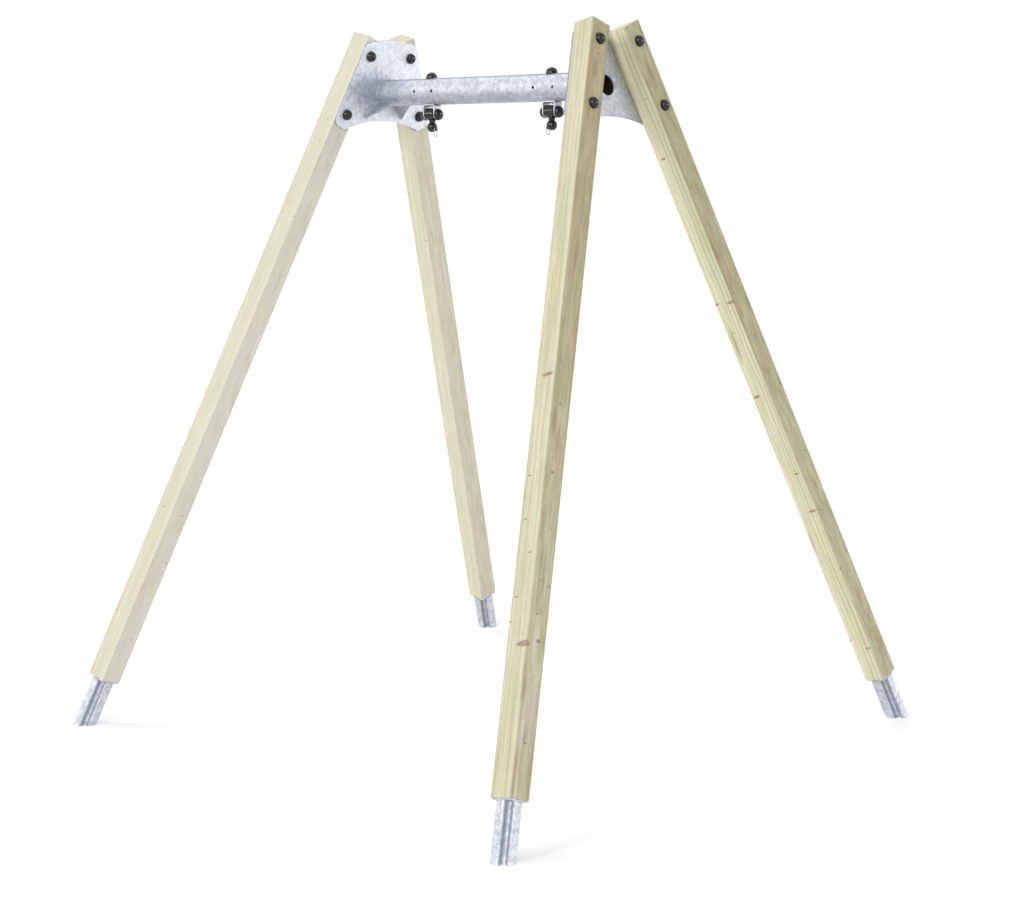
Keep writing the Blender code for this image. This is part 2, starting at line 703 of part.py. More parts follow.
def build_ball(name, axis, facing, material):
    """The turning ball: flat top and underside, a stepped bore, an ear for the wire."""
    top = ball_top()
    pocket = SWIVEL_HEAD_RADIUS + SWIVEL_CLEARANCE
    bore = SWIVEL_BOLT_RADIUS + SWIVEL_CLEARANCE
    roof = SWIVEL_POCKET_DEPTH - ball_sole()
    upper = math.asin(top / BALL_RADIUS)
    lower = math.asin(-ball_sole() / BALL_RADIUS)
    profile = [(bore, top)]
    profile += arc((0.0, 0.0), BALL_RADIUS, upper, lower, 8)
    profile += [(pocket, -ball_sole()), (pocket, roof), (bore, roof)]
    place = (0.0, 0.0, -ball_drop())
    ball = add_object(name, turned(profile, 24), axis, place, (0.0, 0.0, facing))

    hole = WIRE_RADIUS + WIRE_CLEARANCE
    round_top = hole + EAR_WALL
    root = (bore + BALL_RADIUS) / 2.0
    tip = pin_offset() + round_top
    high = round_top - EAR_DROP
    low = -EAR_DROP - EAR_DEPTH
    corners = [(root, low), (tip, low), (tip, high), (root, high)]
    radii = [GAP, round_top, round_top, GAP]
    ear = prism(round_corners(corners, radii, 4), -EAR_THICKNESS / 2.0, EAR_THICKNESS / 2.0, "Y")
    combine(ball, ear, "ear", "UNION")
    place = (pin_offset(), 0.0, -EAR_DROP)
    pin = rod(hole, -BALL_RADIUS, BALL_RADIUS, BOLT_SEGMENTS, "Y", place)
    combine(ball, pin, "pin_hole", "DIFFERENCE")
    return finish(ball, material, 40.0)


def build_bail(name, ball, material):
    """A closed loop of round wire through the ear, hanging straight down."""
    corners = [
        (BAIL_TOP_HALF, 0.0),
        (-BAIL_TOP_HALF, 0.0),
        (-BAIL_FOOT_HALF, -BAIL_LENGTH),
        (BAIL_FOOT_HALF, -BAIL_LENGTH),
    ]
    radii = [BAIL_CORNER_RADIUS, BAIL_CORNER_RADIUS, BAIL_FOOT_RADIUS, BAIL_FOOT_RADIUS]
    path = [Vector(point) for point in round_corners(corners, radii, 4)]
    bm = bmesh.new()
    rings = []
    for index, point in enumerate(path):
        heading = (path[(index + 1) % len(path)] - path[index - 1]).normalized()
        ring = []
        for side, across in arc((0.0, 0.0), WIRE_RADIUS, 0.0, math.tau, WIRE_SIDES)[:-1]:
            y = point.x - heading.y * side
            z = point.y + heading.x * side
            ring.append(bm.verts.new((across, y, z)))
        rings.append(ring)
    join_rings(bm, rings, True)
    finish(add_object(name, bm, ball, (pin_offset(), 0.0, -EAR_DROP)), material, 60.0)


def build_end_frame(side, wood, galvanised, plated, moulded):
    """One end: plate, two posts with footings, their bolts and the bolts' caps."""
    side_name = SIDE_NAMES[side]
    turn = 0.0 if side == RIGHT else math.pi
    place = (side * BAR_SPAN / 2.0, 0.0, BAR_HEIGHT)
    frame = make_empty(f"end_frame_{side_name}", None, place, (0.0, -FRAME_LEAN, turn))
    build_end_plate(f"end_plate_{side_name}", frame, galvanised)
    grip = PLATE_THICKNESS + GAP + POST_SIDE
    outward = (0.0, QUARTER, 0.0)
    inward = (0.0, -QUARTER, 0.0)
    for row in (FRONT, BACK):
        where = f"{side_name}_{ROW_NAMES[row * side]}"
        offset = (0.0, row * POST_BAR_OFFSET, 0.0)
        line = make_empty(f"post_line_{where}", frame, offset, (row * POST_SPREAD, 0.0, 0.0))
        build_post(f"post_{where}", line, wood)
        build_footing(f"footing_{where}", line, row, galvanised)
        for level_name, level in (("upper", BOLT_UPPER), ("lower", BOLT_LOWER)):
            label = f"{where}_{level_name}"
            start = (0.0, 0.0, level)
            build_bolt(f"bolt_{label}", grip, line, start, outward, plated)
            size = cap_size(POST_CAP_CLEARANCE, POST_CAP_HEADROOM)
            start = (-GAP, 0.0, level)
            build_cap(f"plate_cap_{label}", size, line, start, inward, moulded)
            start = (grip + GAP, 0.0, level)
            build_cap(f"post_cap_{label}", size, line, start, outward, moulded)


def build_hanger(side, galvanised, plated, moulded, stainless):
    """One hanger: bracket under the tube, hub on its axle, turning ball and wire loop."""
    side_name = SIDE_NAMES[side]
    place = (side * HANGER_SPACING / 2.0, 0.0, BAR_HEIGHT)
    hanger = make_empty(f"hanger_{side_name}", None, place)
    build_bracket(f"bracket_{side_name}", hanger, galvanised)
    build_bracket_bolt(f"bracket_bolt_{side_name}", hanger, plated)
    build_bar_cap(f"bar_cap_{side_name}", hanger, moulded)

    axis = make_empty(f"swing_axis_{side_name}", hanger, (0.0, 0.0, -axle_drop()))
    half = BRACKET_WIDTH / 2.0
    turn = (0.0, side * -QUARTER, 0.0)
    place = (side * half, 0.0, 0.0)
    build_bolt(f"axle_bolt_{side_name}", BRACKET_WIDTH, axis, place, turn, plated)
    size = cap_size(HANGER_CAP_CLEARANCE, AXLE_CAP_HEADROOM)
    for label, facing in (("outer", side), ("inner", -side)):
        turn = (0.0, facing * QUARTER, 0.0)
        place = (facing * (half + GAP), 0.0, 0.0)
        build_cap(f"axle_cap_{side_name}_{label}", size, axis, place, turn, moulded)

    build_hub(f"hub_{side_name}", axis, moulded)
    build_swivel_bolt(f"swivel_bolt_{side_name}", axis, stainless)
    facing = 0.0 if side == LEFT else math.pi
    ball = build_ball(f"ball_{side_name}", axis, facing, moulded)
    build_bail(f"bail_{side_name}", ball, stainless)


def main():
    """Make the materials and put the whole frame together."""
    clear_scene()
    wood = make_material("pine", (218, 215, 184), 0.65, 0.0)
    galvanised = make_material("galvanised_steel", (196, 201, 211), 0.45, 0.7)
    plated = make_material("zinc_plated_steel", (188, 190, 194), 0.35, 0.9)
    moulded = make_material("black_plastic", (36, 37, 39), 0.35, 0.0)
    stainless = make_material("stainless_steel", (205, 206, 208), 0.2, 1.0)

    bar = make_empty("crossbar_axis", None, (0.0, 0.0, BAR_HEIGHT))
    build_crossbar("crossbar_tube", bar, galvanised)
    for side in (LEFT, RIGHT):
        for row in (FRONT, BACK):
            where = f"{SIDE_NAMES[side]}_{ROW_NAMES[row]}"
            build_gusset(f"gusset_{where}", bar, side, row, galvanised)
        build_end_frame(side, wood, galvanised, plated, moulded)
        build_hanger(side, galvanised, plated, moulded, stainless)


if __name__ == "__main__":
    main()
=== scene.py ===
"""Looks of the A-frame swing frame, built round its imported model.

Metres, +Z up, X along the crossbar, -Y the front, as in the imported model.
"""
import math

import bpy
import numpy as np
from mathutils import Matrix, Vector
from mathutils.geometry import tessellate_polygon


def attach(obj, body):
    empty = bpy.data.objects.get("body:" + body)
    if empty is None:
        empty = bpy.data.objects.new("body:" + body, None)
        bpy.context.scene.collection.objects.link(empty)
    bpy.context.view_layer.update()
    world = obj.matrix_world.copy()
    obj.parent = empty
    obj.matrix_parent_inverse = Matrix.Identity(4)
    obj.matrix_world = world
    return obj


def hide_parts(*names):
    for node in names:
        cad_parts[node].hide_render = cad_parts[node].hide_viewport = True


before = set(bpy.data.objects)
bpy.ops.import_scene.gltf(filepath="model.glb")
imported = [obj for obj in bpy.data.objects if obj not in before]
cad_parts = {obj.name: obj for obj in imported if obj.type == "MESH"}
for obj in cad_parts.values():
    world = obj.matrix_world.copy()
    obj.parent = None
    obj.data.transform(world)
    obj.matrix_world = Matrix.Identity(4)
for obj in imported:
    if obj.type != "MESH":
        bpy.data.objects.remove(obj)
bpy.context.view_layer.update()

# ---------------------------------------------------------------- studio
# The frame stands on a white floor in front of nothing, as in a catalogue. Two soft windows
# at the front are the main light, with a broad lamp low at the right, a soft one overhead
# and small ones at the left and at the back.

scene = bpy.context.scene
scene.view_settings.view_transform = "Standard"

camera = bpy.data.objects.new("camera", bpy.data.cameras.new("camera"))
scene.collection.objects.link(camera)
scene.camera = camera
camera.location = (5.65578, -5.73086, 2.32174)
camera.rotation_euler = (math.radians(80.959), 0.0, math.radians(42.503))
camera.data.lens = 69.20
camera.data.shift_x = -0.05157
camera.data.shift_y = 0.01947

SKY = 0.42                        # light from all round, where 1 is white
FLOOR_GREY = 0.80                 # share of the light that the floor returns
FLOOR_SEEN = 0.97                 # the same where the floor is seen, for a fuller shadow
FLOOR_LIFT = 0.31                 # added where the floor is seen, so that it is white
FLOOR_HALF = 40.0

# The setting that the second word of a node's kind stands for.
MODES = {"Math": "operation", "VectorMath": "operation", "MapRange": "interpolation_type",
         "Mix": "data_type", "TexVoronoi": "feature"}


def colour(code):
    """An sRGB hex value as linear RGBA: a straight foot, then a power of 2.4."""
    channels = np.array([int(code[i:i + 2], 16) for i in (0, 2, 4)]) / 255.0
    curve = ((channels + 0.055) / 1.055) ** 2.4
    return (*np.where(channels <= 0.04045, channels / 12.92, curve).tolist(), 1.0)


def feed(node, inputs):
    """Set or link a node's inputs. A node as a value stands for its first output in use."""
    for key, value in inputs.items():
        if isinstance(value, bpy.types.Node):
            value = next(end for end in value.outputs if end.enabled)
        if isinstance(value, bpy.types.NodeSocket):
            node.id_data.links.new(value, node.inputs[key])
        else:
            node.inputs[key].default_value = value


def add(tree, kind, *values, stops=(), **others):
    """Add a node, with its mode after its kind; the values fill its inputs in use, in order.

    Of the others, a name with a capital is an input and the rest are settings. The stops
    are a colour ramp's.
    """
    kind, *mode = kind.split()
    made = tree.nodes.new(kind if kind.startswith("NodeGroup") else "ShaderNode" + kind)
    settings = {MODES[kind]: mode[0]} if mode else {}
    settings.update((name, value) for name, value in others.items() if name.islower())
    for name, value in settings.items():
        setattr(made, name, value)
    in_use = [place for place, end in enumerate(made.inputs) if end.enabled]
    feed(made, dict(zip(in_use, values)))
    feed(made, {name: value for name, value in others.items() if not name.islower()})
    for number, (place, code) in enumerate(stops):
        if number > 1:
            made.color_ramp.elements.new(place)
        made.color_ramp.elements[number].position = place
        made.color_ramp.elements[number].color = colour(code)
    return made


def new_material(name):
    """A material with its node tree and its Principled shader."""
    made = bpy.data.materials.new(name)
    made.use_nodes = True
    return made, made.node_tree, made.node_tree.nodes["Principled BSDF"]


def is_seen(tree):
    """1 for a ray that makes the picture, else 0: the greatest of straight, mirrored, through."""
    path = add(tree, "LightPath").outputs
    seen = add(tree, "Math MAXIMUM", path["Is Camera Ray"], path["Is Glossy Ray"])
    return add(tree, "Math MAXIMUM", seen, path["Is Transmission Ray"])


world = bpy.data.worlds.new("studio")
scene.world = world
world.use_nodes = True
tree = world.node_tree
tree.nodes.clear()
level = add(tree, "MapRange", is_seen(tree), 0.0, 1.0, SKY, 1.0)
back = add(tree, "Background", colour("ffffff"), level)
add(tree, "OutputWorld", back)

# Each lamp: where it stands as seen from the frame, its strength and its width in degrees.
for name, heading, strength, width in (
        ("left_window", (-0.16, -0.93, 0.34), 0.78, 14.5),
        ("right_window", (0.44, -0.83, 0.34), 0.77, 14.5),
        ("left_lamp", (-0.72, -0.66, 0.22), 0.16, 9.0),
        ("side_lamp", (0.91, 0.42, 0.05), 0.90, 42.0),
        ("top_lamp", (-0.42, -0.05, 0.91), 0.50, 25.0),
        ("back_lamp", (0.34, 0.93, 0.12), 0.25, 20.0)):
    lamp = bpy.data.objects.new(name, bpy.data.lights.new(name, "SUN"))
    scene.collection.objects.link(lamp)
    lamp.data.energy = strength
    lamp.data.angle = math.radians(width)
    lamp.rotation_euler = Vector(heading).to_track_quat("Z", "Y").to_euler()

ground = bpy.data.meshes.new("floor")
ground.from_pydata([(x * FLOOR_HALF, y * FLOOR_HALF, 0)
                    for x, y in ((-1, -1), (1, -1), (1, 1), (-1, 1))], [], [(0, 1, 2, 3)])
floor = bpy.data.objects.new("floor", ground)
scene.collection.objects.link(floor)
white, tree, _ = new_material("matt_white_floor")
tree.nodes.clear()
seen = is_seen(tree)
grey = add(tree, "MapRange", seen, 0.0, 1.0, FLOOR_GREY, FLOOR_SEEN)
matt = add(tree, "BsdfDiffuse", grey)
lift = add(tree, "Math MULTIPLY", seen, FLOOR_LIFT)
glow = add(tree, "Emission", Strength=lift)
add(tree, "OutputMaterial", add(tree, "AddShader", matt, glow))
ground.materials.append(white)

# ---------------------------------------------------------------- posts
# Four square pine posts, planed, with eased edges and lightly broken ends, pressure-treated
# so that the pale wood is faintly green. Two lean together at each end of the crossbar.

BAR_HEIGHT = 2.615                # of the crossbar's axis
BAR_SPAN = 1.232                  # between the inner faces of the end plates
FRAME_LEAN = math.radians(11.9)   # each end frame leans in
POST_SPREAD = math.radians(21.0)  # each post leans within its end frame
POST_BAR_OFFSET = 0.1695          # crossbar's axis to a post's centre, level with it
POST_SIDE = 0.095
HALF = POST_SIDE / 2
POST_EDGE = 0.004                 # radius of the long edges
POST_EDGE_LOSS = 0.003            # the most that this radius loses toward the ends
POST_END_EASE = 0.0015            # radius of the edges at the ends
POST_TOP = 0.233                  # above the level of the crossbar, along the post
SHOE_LENGTH = 0.20816             # post's lower end to the ground, along its centre
PLATE = 0.008                     # thickness of the end plates
GAP = 0.0003                      # between pieces that touch
POST_CENTRE = PLATE + GAP + HALF  # from the inner face of the end plate
KNOT_RISE = 0.015                 # from where a branch leaves the pith up to its knot
FACE_BLEND = (0.040, 0.047)       # from a post's centre, where a face's own tone sets in
# The flank's tone is painted light and shade; it changes between these heights.
FLANK_SHADE_SPAN = (-2.4, -0.2)          # heights between which a flank's tone changes

SIDES = {"left": -1, "right": 1}
POSTS = [(f"{side_name}_{row_name}", side, row) for side_name, side in SIDES.items()
         for row_name, row in (("front", -1), ("back", 1))]


def turn(axis, angle):
    """Rotation about one axis: cosine and sine in the plane of the other two."""
    a, b = {"X": (1, 2), "Y": (2, 0), "Z": (0, 1)}[axis]
    made = np.eye(3)
    made[a, a] = made[b, b] = math.cos(angle)
    made[a, b] = -math.sin(angle)
    made[b, a] = math.sin(angle)
    return made


def frame_axes(side):
    """An end frame's own axes: X outward, Z up the plate, origin on the crossbar's axis.

    The frame is leaned about Y, and the left one is then turned half round about Z.
    """
    spin = turn("Z", 0.0 if side > 0 else math.pi) @ turn("Y", -FRAME_LEAN)
    return spin, np.array([side * BAR_SPAN / 2, 0.0, BAR_HEIGHT])


def post_axes(side, row):
    """A post's own axes: the end frame's, moved across and leaned by the spread about X."""
    spin, origin = frame_axes(side)
    way = row * side
    lean = spin @ turn("X", way * POST_SPREAD)
    return lean, origin + spin @ np.array([0.0, way * POST_BAR_OFFSET, 0.0])


def ground_level(x, y, way):
    """Where a line along a post meets the ground, measured along the post from the bar.

    The start's height over the cosines of both leans, less y times the spread's tangent,
    which counts one way (1) or the other (-1) as the post leans.
    """
    drop = BAR_HEIGHT + x * math.sin(FRAME_LEAN)
    along = drop / (math.cos(FRAME_LEAN) * math.cos(POST_SPREAD))
    return -along - way * y * math.tan(POST_SPREAD)


POST_FOOT = ground_level(POST_CENTRE, 0.0, 0) + SHOE_LENGTH


def rounded(corners, radii, steps, hold=0.0):
    """An outline with tangent arcs: centres on the bisectors, radius over sine of half.

    hold adds a point on the straight this far before and after each arc, which keeps the
    shading of the flats flat.
    """
    corners = np.asarray(corners, float)
    radii = np.broadcast_to(np.asarray(radii, float), len(corners))[:, None]
    before = np.roll(corners, 1, 0) - corners
    after = np.roll(corners, -1, 0) - corners
    before /= np.linalg.norm(before, axis=1, keepdims=True)
    after /= np.linalg.norm(after, axis=1, keepdims=True)
    half = np.arccos(np.clip((before * after).sum(1), -1, 1))[:, None] / 2
    way = (before + after) / np.linalg.norm(before + after, axis=1, keepdims=True)
    centre = corners + way * radii / np.sin(half)
    start = corners + before * radii / np.tan(half) - centre
    cross = before[:, :1] * after[:, 1:] - before[:, 1:] * after[:, :1]
    sweep = -(math.pi - 2 * half) * np.sign(cross) * np.linspace(0, 1, steps + 1)
    x = centre[:, :1] + start[:, :1] * np.cos(sweep) - start[:, 1:] * np.sin(sweep)
    y = centre[:, 1:] + start[:, :1] * np.sin(sweep) + start[:, 1:] * np.cos(sweep)
    arcs = np.stack([x, y], -1)
    if hold:
        first = arcs[:, :1] + before[:, None] * hold
        last = arcs[:, -1:] + after[:, None] * hold
        arcs = np.concatenate([first, arcs, last], 1)
    return arcs.reshape(-1, 2)


def skin(rings, looped=False):
    """Quads from each ring to the next, and back to the first if looped.

    An open stack is closed by a fan to the mean of each end ring. A triangle's fourth
    corner is -1.
    """
    count, around = rings.shape[:2]
    index = np.arange(count * around).reshape(count, around)
    below, above = (index, np.roll(index, -1, 0)) if looped else (index[:-1], index[1:])
    quads = np.stack([below, np.roll(below, -1, 1), np.roll(above, -1, 1), above], -1)
    points, faces = rings.reshape(-1, 3), quads.reshape(-1, 4)
    if looped:
        return points, faces
    low, high = index[0], index[-1]
    flat = np.full(around, -1)
    foot = np.stack([np.roll(low, -1), low, np.full(around, len(points)), flat], -1)
    head = np.stack([high, np.roll(high, -1), np.full(around, len(points) + 1), flat], -1)
    return np.vstack([points, rings[[0, -1]].mean(1)]), np.vstack([faces, foot, head])


def piece(name, shells, material, body, slot, nodes=(), spin=np.eye(3), origin=(0, 0, 0),
          angle=35.0, field=None):
    """One object from closed shells, each turned outward by the sign of its volume.

    The volume is the sum, over the faces, of the cross product of two edges times a
    corner. Edges sharper than the angle stay sharp. The field is a vector at each point,
    for the material to read.
    """
    points, faces, start = [], [], 0
    for spots, cells in shells:
        last = np.where(cells[:, 3] < 0, cells[:, 2], cells[:, 3])
        a, b, c, d = (spots[cells[:, 0]], spots[cells[:, 1]], spots[cells[:, 2]], spots[last])
        normal = np.cross(b - a, c - a) + np.cross(c - a, d - a)
        if (normal * (a - spots.mean(0))).sum() < 0:
            cells = np.where(cells[:, 3:] < 0, cells[:, [2, 1, 0, 3]], cells[:, ::-1])
        points.append(spots)
        faces.append(np.where(cells < 0, -1, cells + start))
        start += len(spots)
    points, faces = np.vstack(points) @ spin.T + origin, np.vstack(faces)
    mesh = bpy.data.meshes.new(name)
    mesh.vertices.add(len(points))
    mesh.vertices.foreach_set("co", points.astype(np.float32).ravel())
    sizes = (faces >= 0).sum(1)
    loops = faces[faces >= 0]
    mesh.loops.add(len(loops))
    mesh.loops.foreach_set("vertex_index", loops.astype(np.int32))
    mesh.polygons.add(len(faces))
    mesh.polygons.foreach_set("loop_start", (np.cumsum(sizes) - sizes).astype(np.int32))
    mesh.update(calc_edges=True)
    mesh.validate()
    mesh.shade_smooth()
    mesh.set_sharp_from_angle(angle=math.radians(angle))
    if field is not None:
        held = mesh.attributes.new("field", "FLOAT_VECTOR", "POINT")
        held.data.foreach_set("vector", field.astype(np.float32).ravel())
    mesh.materials.append(material)
    made = bpy.data.objects.new(name, mesh)
    scene.collection.objects.link(made)
    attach(made, body)
    if nodes:
        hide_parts(*nodes)


# A branch inside the timber: a cone that leaves the pith. A point's reach is the length at
# which the growing cone takes it in, so rings bend round it as they do round a knot.
branch = bpy.data.node_groups.new("branch", "ShaderNodeTree")
for label in ("Point", "Root", "Heading"):
    branch.interface.new_socket(label, in_out="INPUT", socket_type="NodeSocketVector")
branch.interface.new_socket("Taper", in_out="INPUT", socket_type="NodeSocketFloat")
branch.interface.new_socket("Reach", in_out="OUTPUT", socket_type="NodeSocketFloat")
given = add(branch, "NodeGroupInput").outputs
away = add(branch, "VectorMath SUBTRACT", given["Point"], given["Root"])
along = add(branch, "VectorMath DOT_PRODUCT", away, given["Heading"])
along = add(branch, "Math MAXIMUM", along, 0.0)
axis = add(branch, "VectorMath SCALE", given["Heading"], along)
off = add(branch, "VectorMath SUBTRACT", away, axis)
off = add(branch, "VectorMath MULTIPLY", off, (1.0, 1.0, 1.8))
off = add(branch, "VectorMath LENGTH", off)
reach = add(branch, "Math MULTIPLY_ADD", off, given["Taper"], along)
reach = add(branch, "Math MULTIPLY", reach, 0.4)
add(branch, "NodeGroupOutput", reach)


def on_faces(side, front, flank):
    """Spots as (place, sizes) in a post's axes: mm over 1000, put half the side out."""
    placed = []
    for spots, on_front in ((front, True), (flank, False)):
        for spot in spots:
            across, up, *sizes = (value / 1000 for value in spot)
            place = (across, -side * HALF, up) if on_front else (side * HALF, across, up)
            placed.append((np.array(place), sizes))
    return placed


def pine(name, side, pith, drift, seed, tone, fade, late, rings, edge, top, mottle, knots,
         stains=((), ())):
    """Treated pine: a ring is the fraction of the distance from the pith times rings a metre.

    The distance is the smooth minimum of that to the pith's line, which drifts, and each
    branch's reach, so that the rings bend round the knots.
    """
    # Planed softwood: matt, pale cream spring wood and greenish late wood 7 to 17 mm apart,
    # long soft streaks where the treatment went in, brown resin stains and grey-brown knots.
    # Paler at the edge nearest the bark, in a band that is partly sapwood and partly a painted
    # highlight along that edge; faint marks of the planer run across the grain, and the flanks are
    # more mottled than the fronts. The flank's colour also holds painted light and shade.
    material, tree, shader = new_material(name)
    place = add(tree, "Attribute", attribute_name="field").outputs["Vector"]
    start = (seed * 3.7, seed * 1.9, seed * 2.3)
    axes = add(tree, "SeparateXYZ", place).outputs

    def along_grain(across, along, detail, rough=0.5):
        """Noise with so many cells a metre across the grain and so many along it."""
        mapped = add(tree, "Mapping", place, Location=start, Scale=(across, across, along))
        return add(tree, "TexNoise", mapped, Scale=1.0, Detail=detail, Roughness=rough)

    # The rings: the grain sways, the pith drifts, and a branch to each knot bends them.
    bent = place
    for across, along, amount in ((9.0, 2.0, 0.020), (26.0, 6.0, 0.0065), (60.0, 9.0, 0.0030)):
        sway = along_grain(across, along, 1.0).outputs["Color"]
        sway = add(tree, "VectorMath SUBTRACT", sway, (0.5, 0.5, 0.5))
        bent = add(tree, "VectorMath MULTIPLY_ADD", sway, (amount, amount, 0.0), bent)
    lean = add(tree, "VectorMath SCALE", (*drift, 0.0), axes["Z"])
    core = add(tree, "VectorMath SUBTRACT", bent, lean)
    core = add(tree, "VectorMath SUBTRACT", core, (*pith, 0.0))
    core = add(tree, "VectorMath MULTIPLY", core, (1.0, 1.0, 0.0))
    trunk = add(tree, "VectorMath LENGTH", core)
    nearest = 1.0
    for spot, (size,) in on_faces(side, *knots):
        up = spot[2]
        root = np.array([pith[0] + drift[0] * up, pith[1] + drift[1] * up, up - KNOT_RISE])
        length = np.linalg.norm(spot - root)
        knot = add(tree, "Group", node_tree=branch, Point=bent, Root=root,
                   Heading=(spot - root) / length, Taper=1.5 * length / size)
        nearest = add(tree, "Math MINIMUM", nearest, knot)
    grown = add(tree, "Math SMOOTH_MIN", trunk, nearest, 0.012)
    ring = add(tree, "Math FRACT", add(tree, "Math MULTIPLY", grown, rings))
    ring = add(tree, "ValToRGB", ring, stops=[
        (0.0, "404040"), (0.16, "000000"), (0.45, "303030"), (0.82, "ffffff"), (1.0, "404040")])
    inside = add(tree, "Math SUBTRACT", trunk, nearest)

    # Where the point lies: on the flank, on the front, and how near the bark.
    facing = add(tree, "Math MULTIPLY", axes["X"], float(side))
    flank = add(tree, "MapRange SMOOTHSTEP", facing, *FACE_BLEND)
    front = add(tree, "Math MULTIPLY", axes["Y"], float(-side))
    front = add(tree, "MapRange SMOOTHSTEP", front, *FACE_BLEND)
    patch = along_grain(15.0, 2.6, 3.0)
    near = add(tree, "Math MULTIPLY_ADD", patch, 0.030, facing)

    # The ground colour in streaks, then brown and green patches, then the late wood.
    streak = along_grain(30.0, 1.1, 4.0, 0.62)
    base = add(tree, "ValToRGB", streak, stops=[
        (0.30, "d0d1a6"), (0.44, "dad7b4"), (0.56, "e4dec6"), (0.74, "dccfae")])
    for low, high, least, most, code in ((0.50, 0.66, 0.20, 0.62, "c2ab86"),
                                         (0.50, 0.34, 0.30, 0.65, "bdc295")):
        limit = add(tree, "MapRange", flank, 0.0, 1.0, least, most)
        share = add(tree, "MapRange SMOOTHSTEP", patch, low, high)
        share = add(tree, "Math MULTIPLY", share, limit)
        base = add(tree, "Mix RGBA", share, base, colour(code))
    ridge = add(tree, "MapRange SMOOTHSTEP", near, -0.005, 0.025)
    ridge = add(tree, "Math MULTIPLY", ridge, front)
    share = add(tree, "MapRange", ridge, 0.0, 1.0, *late)
    share = add(tree, "Math MULTIPLY", ring, share)
    summer = add(tree, "Mix RGBA", flank, colour("a9b078"), colour("a0946a"))
    base = add(tree, "Mix RGBA", share, base, summer)

    # Fine lines along the grain, the planer's marks across it, and the fibres.
    fibre = along_grain(700.0, 12.0, 2.0)
    for pattern, low, high, least, most in (
            (along_grain(170.0, 3.0, 2.0), 0.34, 0.66, 0.90, 1.07),
            (along_grain(22.0, 190.0, 2.0), 0.36, 0.64, 0.98, 1.02),
            (fibre, 0.3, 0.7, 0.92 * tone, 1.05 * tone)):
        shade = add(tree, "MapRange SMOOTHSTEP", pattern, low, high, least, most)
        base = add(tree, "VectorMath SCALE", base, shade)

    # Paler at the bark, in a band that is partly sapwood and partly a painted highlight along the
    # edge between the front and the flank; bleached as a whole. The flank is mixed toward a colour
    # of its own as painted light and shade: a paler one on the left posts, and on the right posts
    # a darker one that takes more of it higher up. The flank also has mottles and darker marks.
    sapwood_and_highlight = add(tree, "MapRange SMOOTHSTEP", near, 0.042, 0.056, 0.0, edge)
    sapwood_and_highlight = add(tree, "Math MULTIPLY", sapwood_and_highlight, front)
    flank_light_and_shade, at_foot, at_head = top
    high = add(tree, "MapRange SMOOTHSTEP", axes["Z"], *FLANK_SHADE_SPAN, at_foot, at_head)
    high = add(tree, "Math MULTIPLY", flank, high)
    for share, code in ((sapwood_and_highlight, "efe9d6"), (fade, "efecdc"), (high, flank_light_and_shade)):
        base = add(tree, "Mix RGBA", share, base, colour(code))
    share = add(tree, "Math MULTIPLY", flank, mottle)
    fleck = add(tree, "MapRange SMOOTHSTEP", along_grain(48.0, 11.0, 3.0), 0.36, 0.64, 0.89, 1.08)
    fleck = add(tree, "Mix", share, 1.0, fleck)
    base = add(tree, "VectorMath SCALE", base, fleck)
    mark = add(tree, "MapRange SMOOTHSTEP", along_grain(34.0, 13.0, 2.0), 0.58, 0.70, 0.0, 0.45)
    mark = add(tree, "Math MULTIPLY", mark, share)
    base = add(tree, "Mix RGBA", mark, base, colour("a58c66"))

    # Resin stains with frayed ends, then the knots: a warm rim round a grey heart.
    for spot, (wide, tall) in on_faces(side, *stains):
        off = add(tree, "VectorMath SUBTRACT", bent, spot)
        off = add(tree, "VectorMath MULTIPLY", off, (1 / wide, 1 / wide, 1 / tall))
        off = add(tree, "VectorMath LENGTH", off)
        off = add(tree, "Math MULTIPLY_ADD", patch, 2.2, off)
        off = add(tree, "Math MULTIPLY_ADD", streak, 1.2, off)
        share = add(tree, "MapRange SMOOTHSTEP", off, 2.9, 2.0, 0.0, 0.55)
        base = add(tree, "Mix RGBA", share, base, colour("a58c63"))
    rim = add(tree, "MapRange SMOOTHSTEP", inside, -0.040, 0.0, 0.0, 0.62)
    base = add(tree, "Mix RGBA", rim, base, colour("b59b69"))
    middle = add(tree, "MapRange SMOOTHSTEP", inside, 0.006, 0.040)
    heart = add(tree, "Mix RGBA", middle, colour("9c8468"), colour("b3a59f"))
    middle = add(tree, "MapRange SMOOTHSTEP", streak, 0.40, 0.60, 0.0, 0.45)
    heart = add(tree, "Mix RGBA", middle, heart, colour("7d6c68"))
    share = add(tree, "MapRange SMOOTHSTEP", inside, -0.006, 0.016, 0.0, 0.90)
    base = add(tree, "Mix RGBA", share, base, heart)

    rough = add(tree, "MapRange", fibre, 0.3, 0.7, 0.72, 0.60)
    bump = add(tree, "Bump", Height=fibre, Strength=0.5, Distance=0.00015)
    feed(shader, {"Base Color": base, "Roughness": rough, "Normal": bump,
                  "Specular IOR Level": 0.35})
    return material
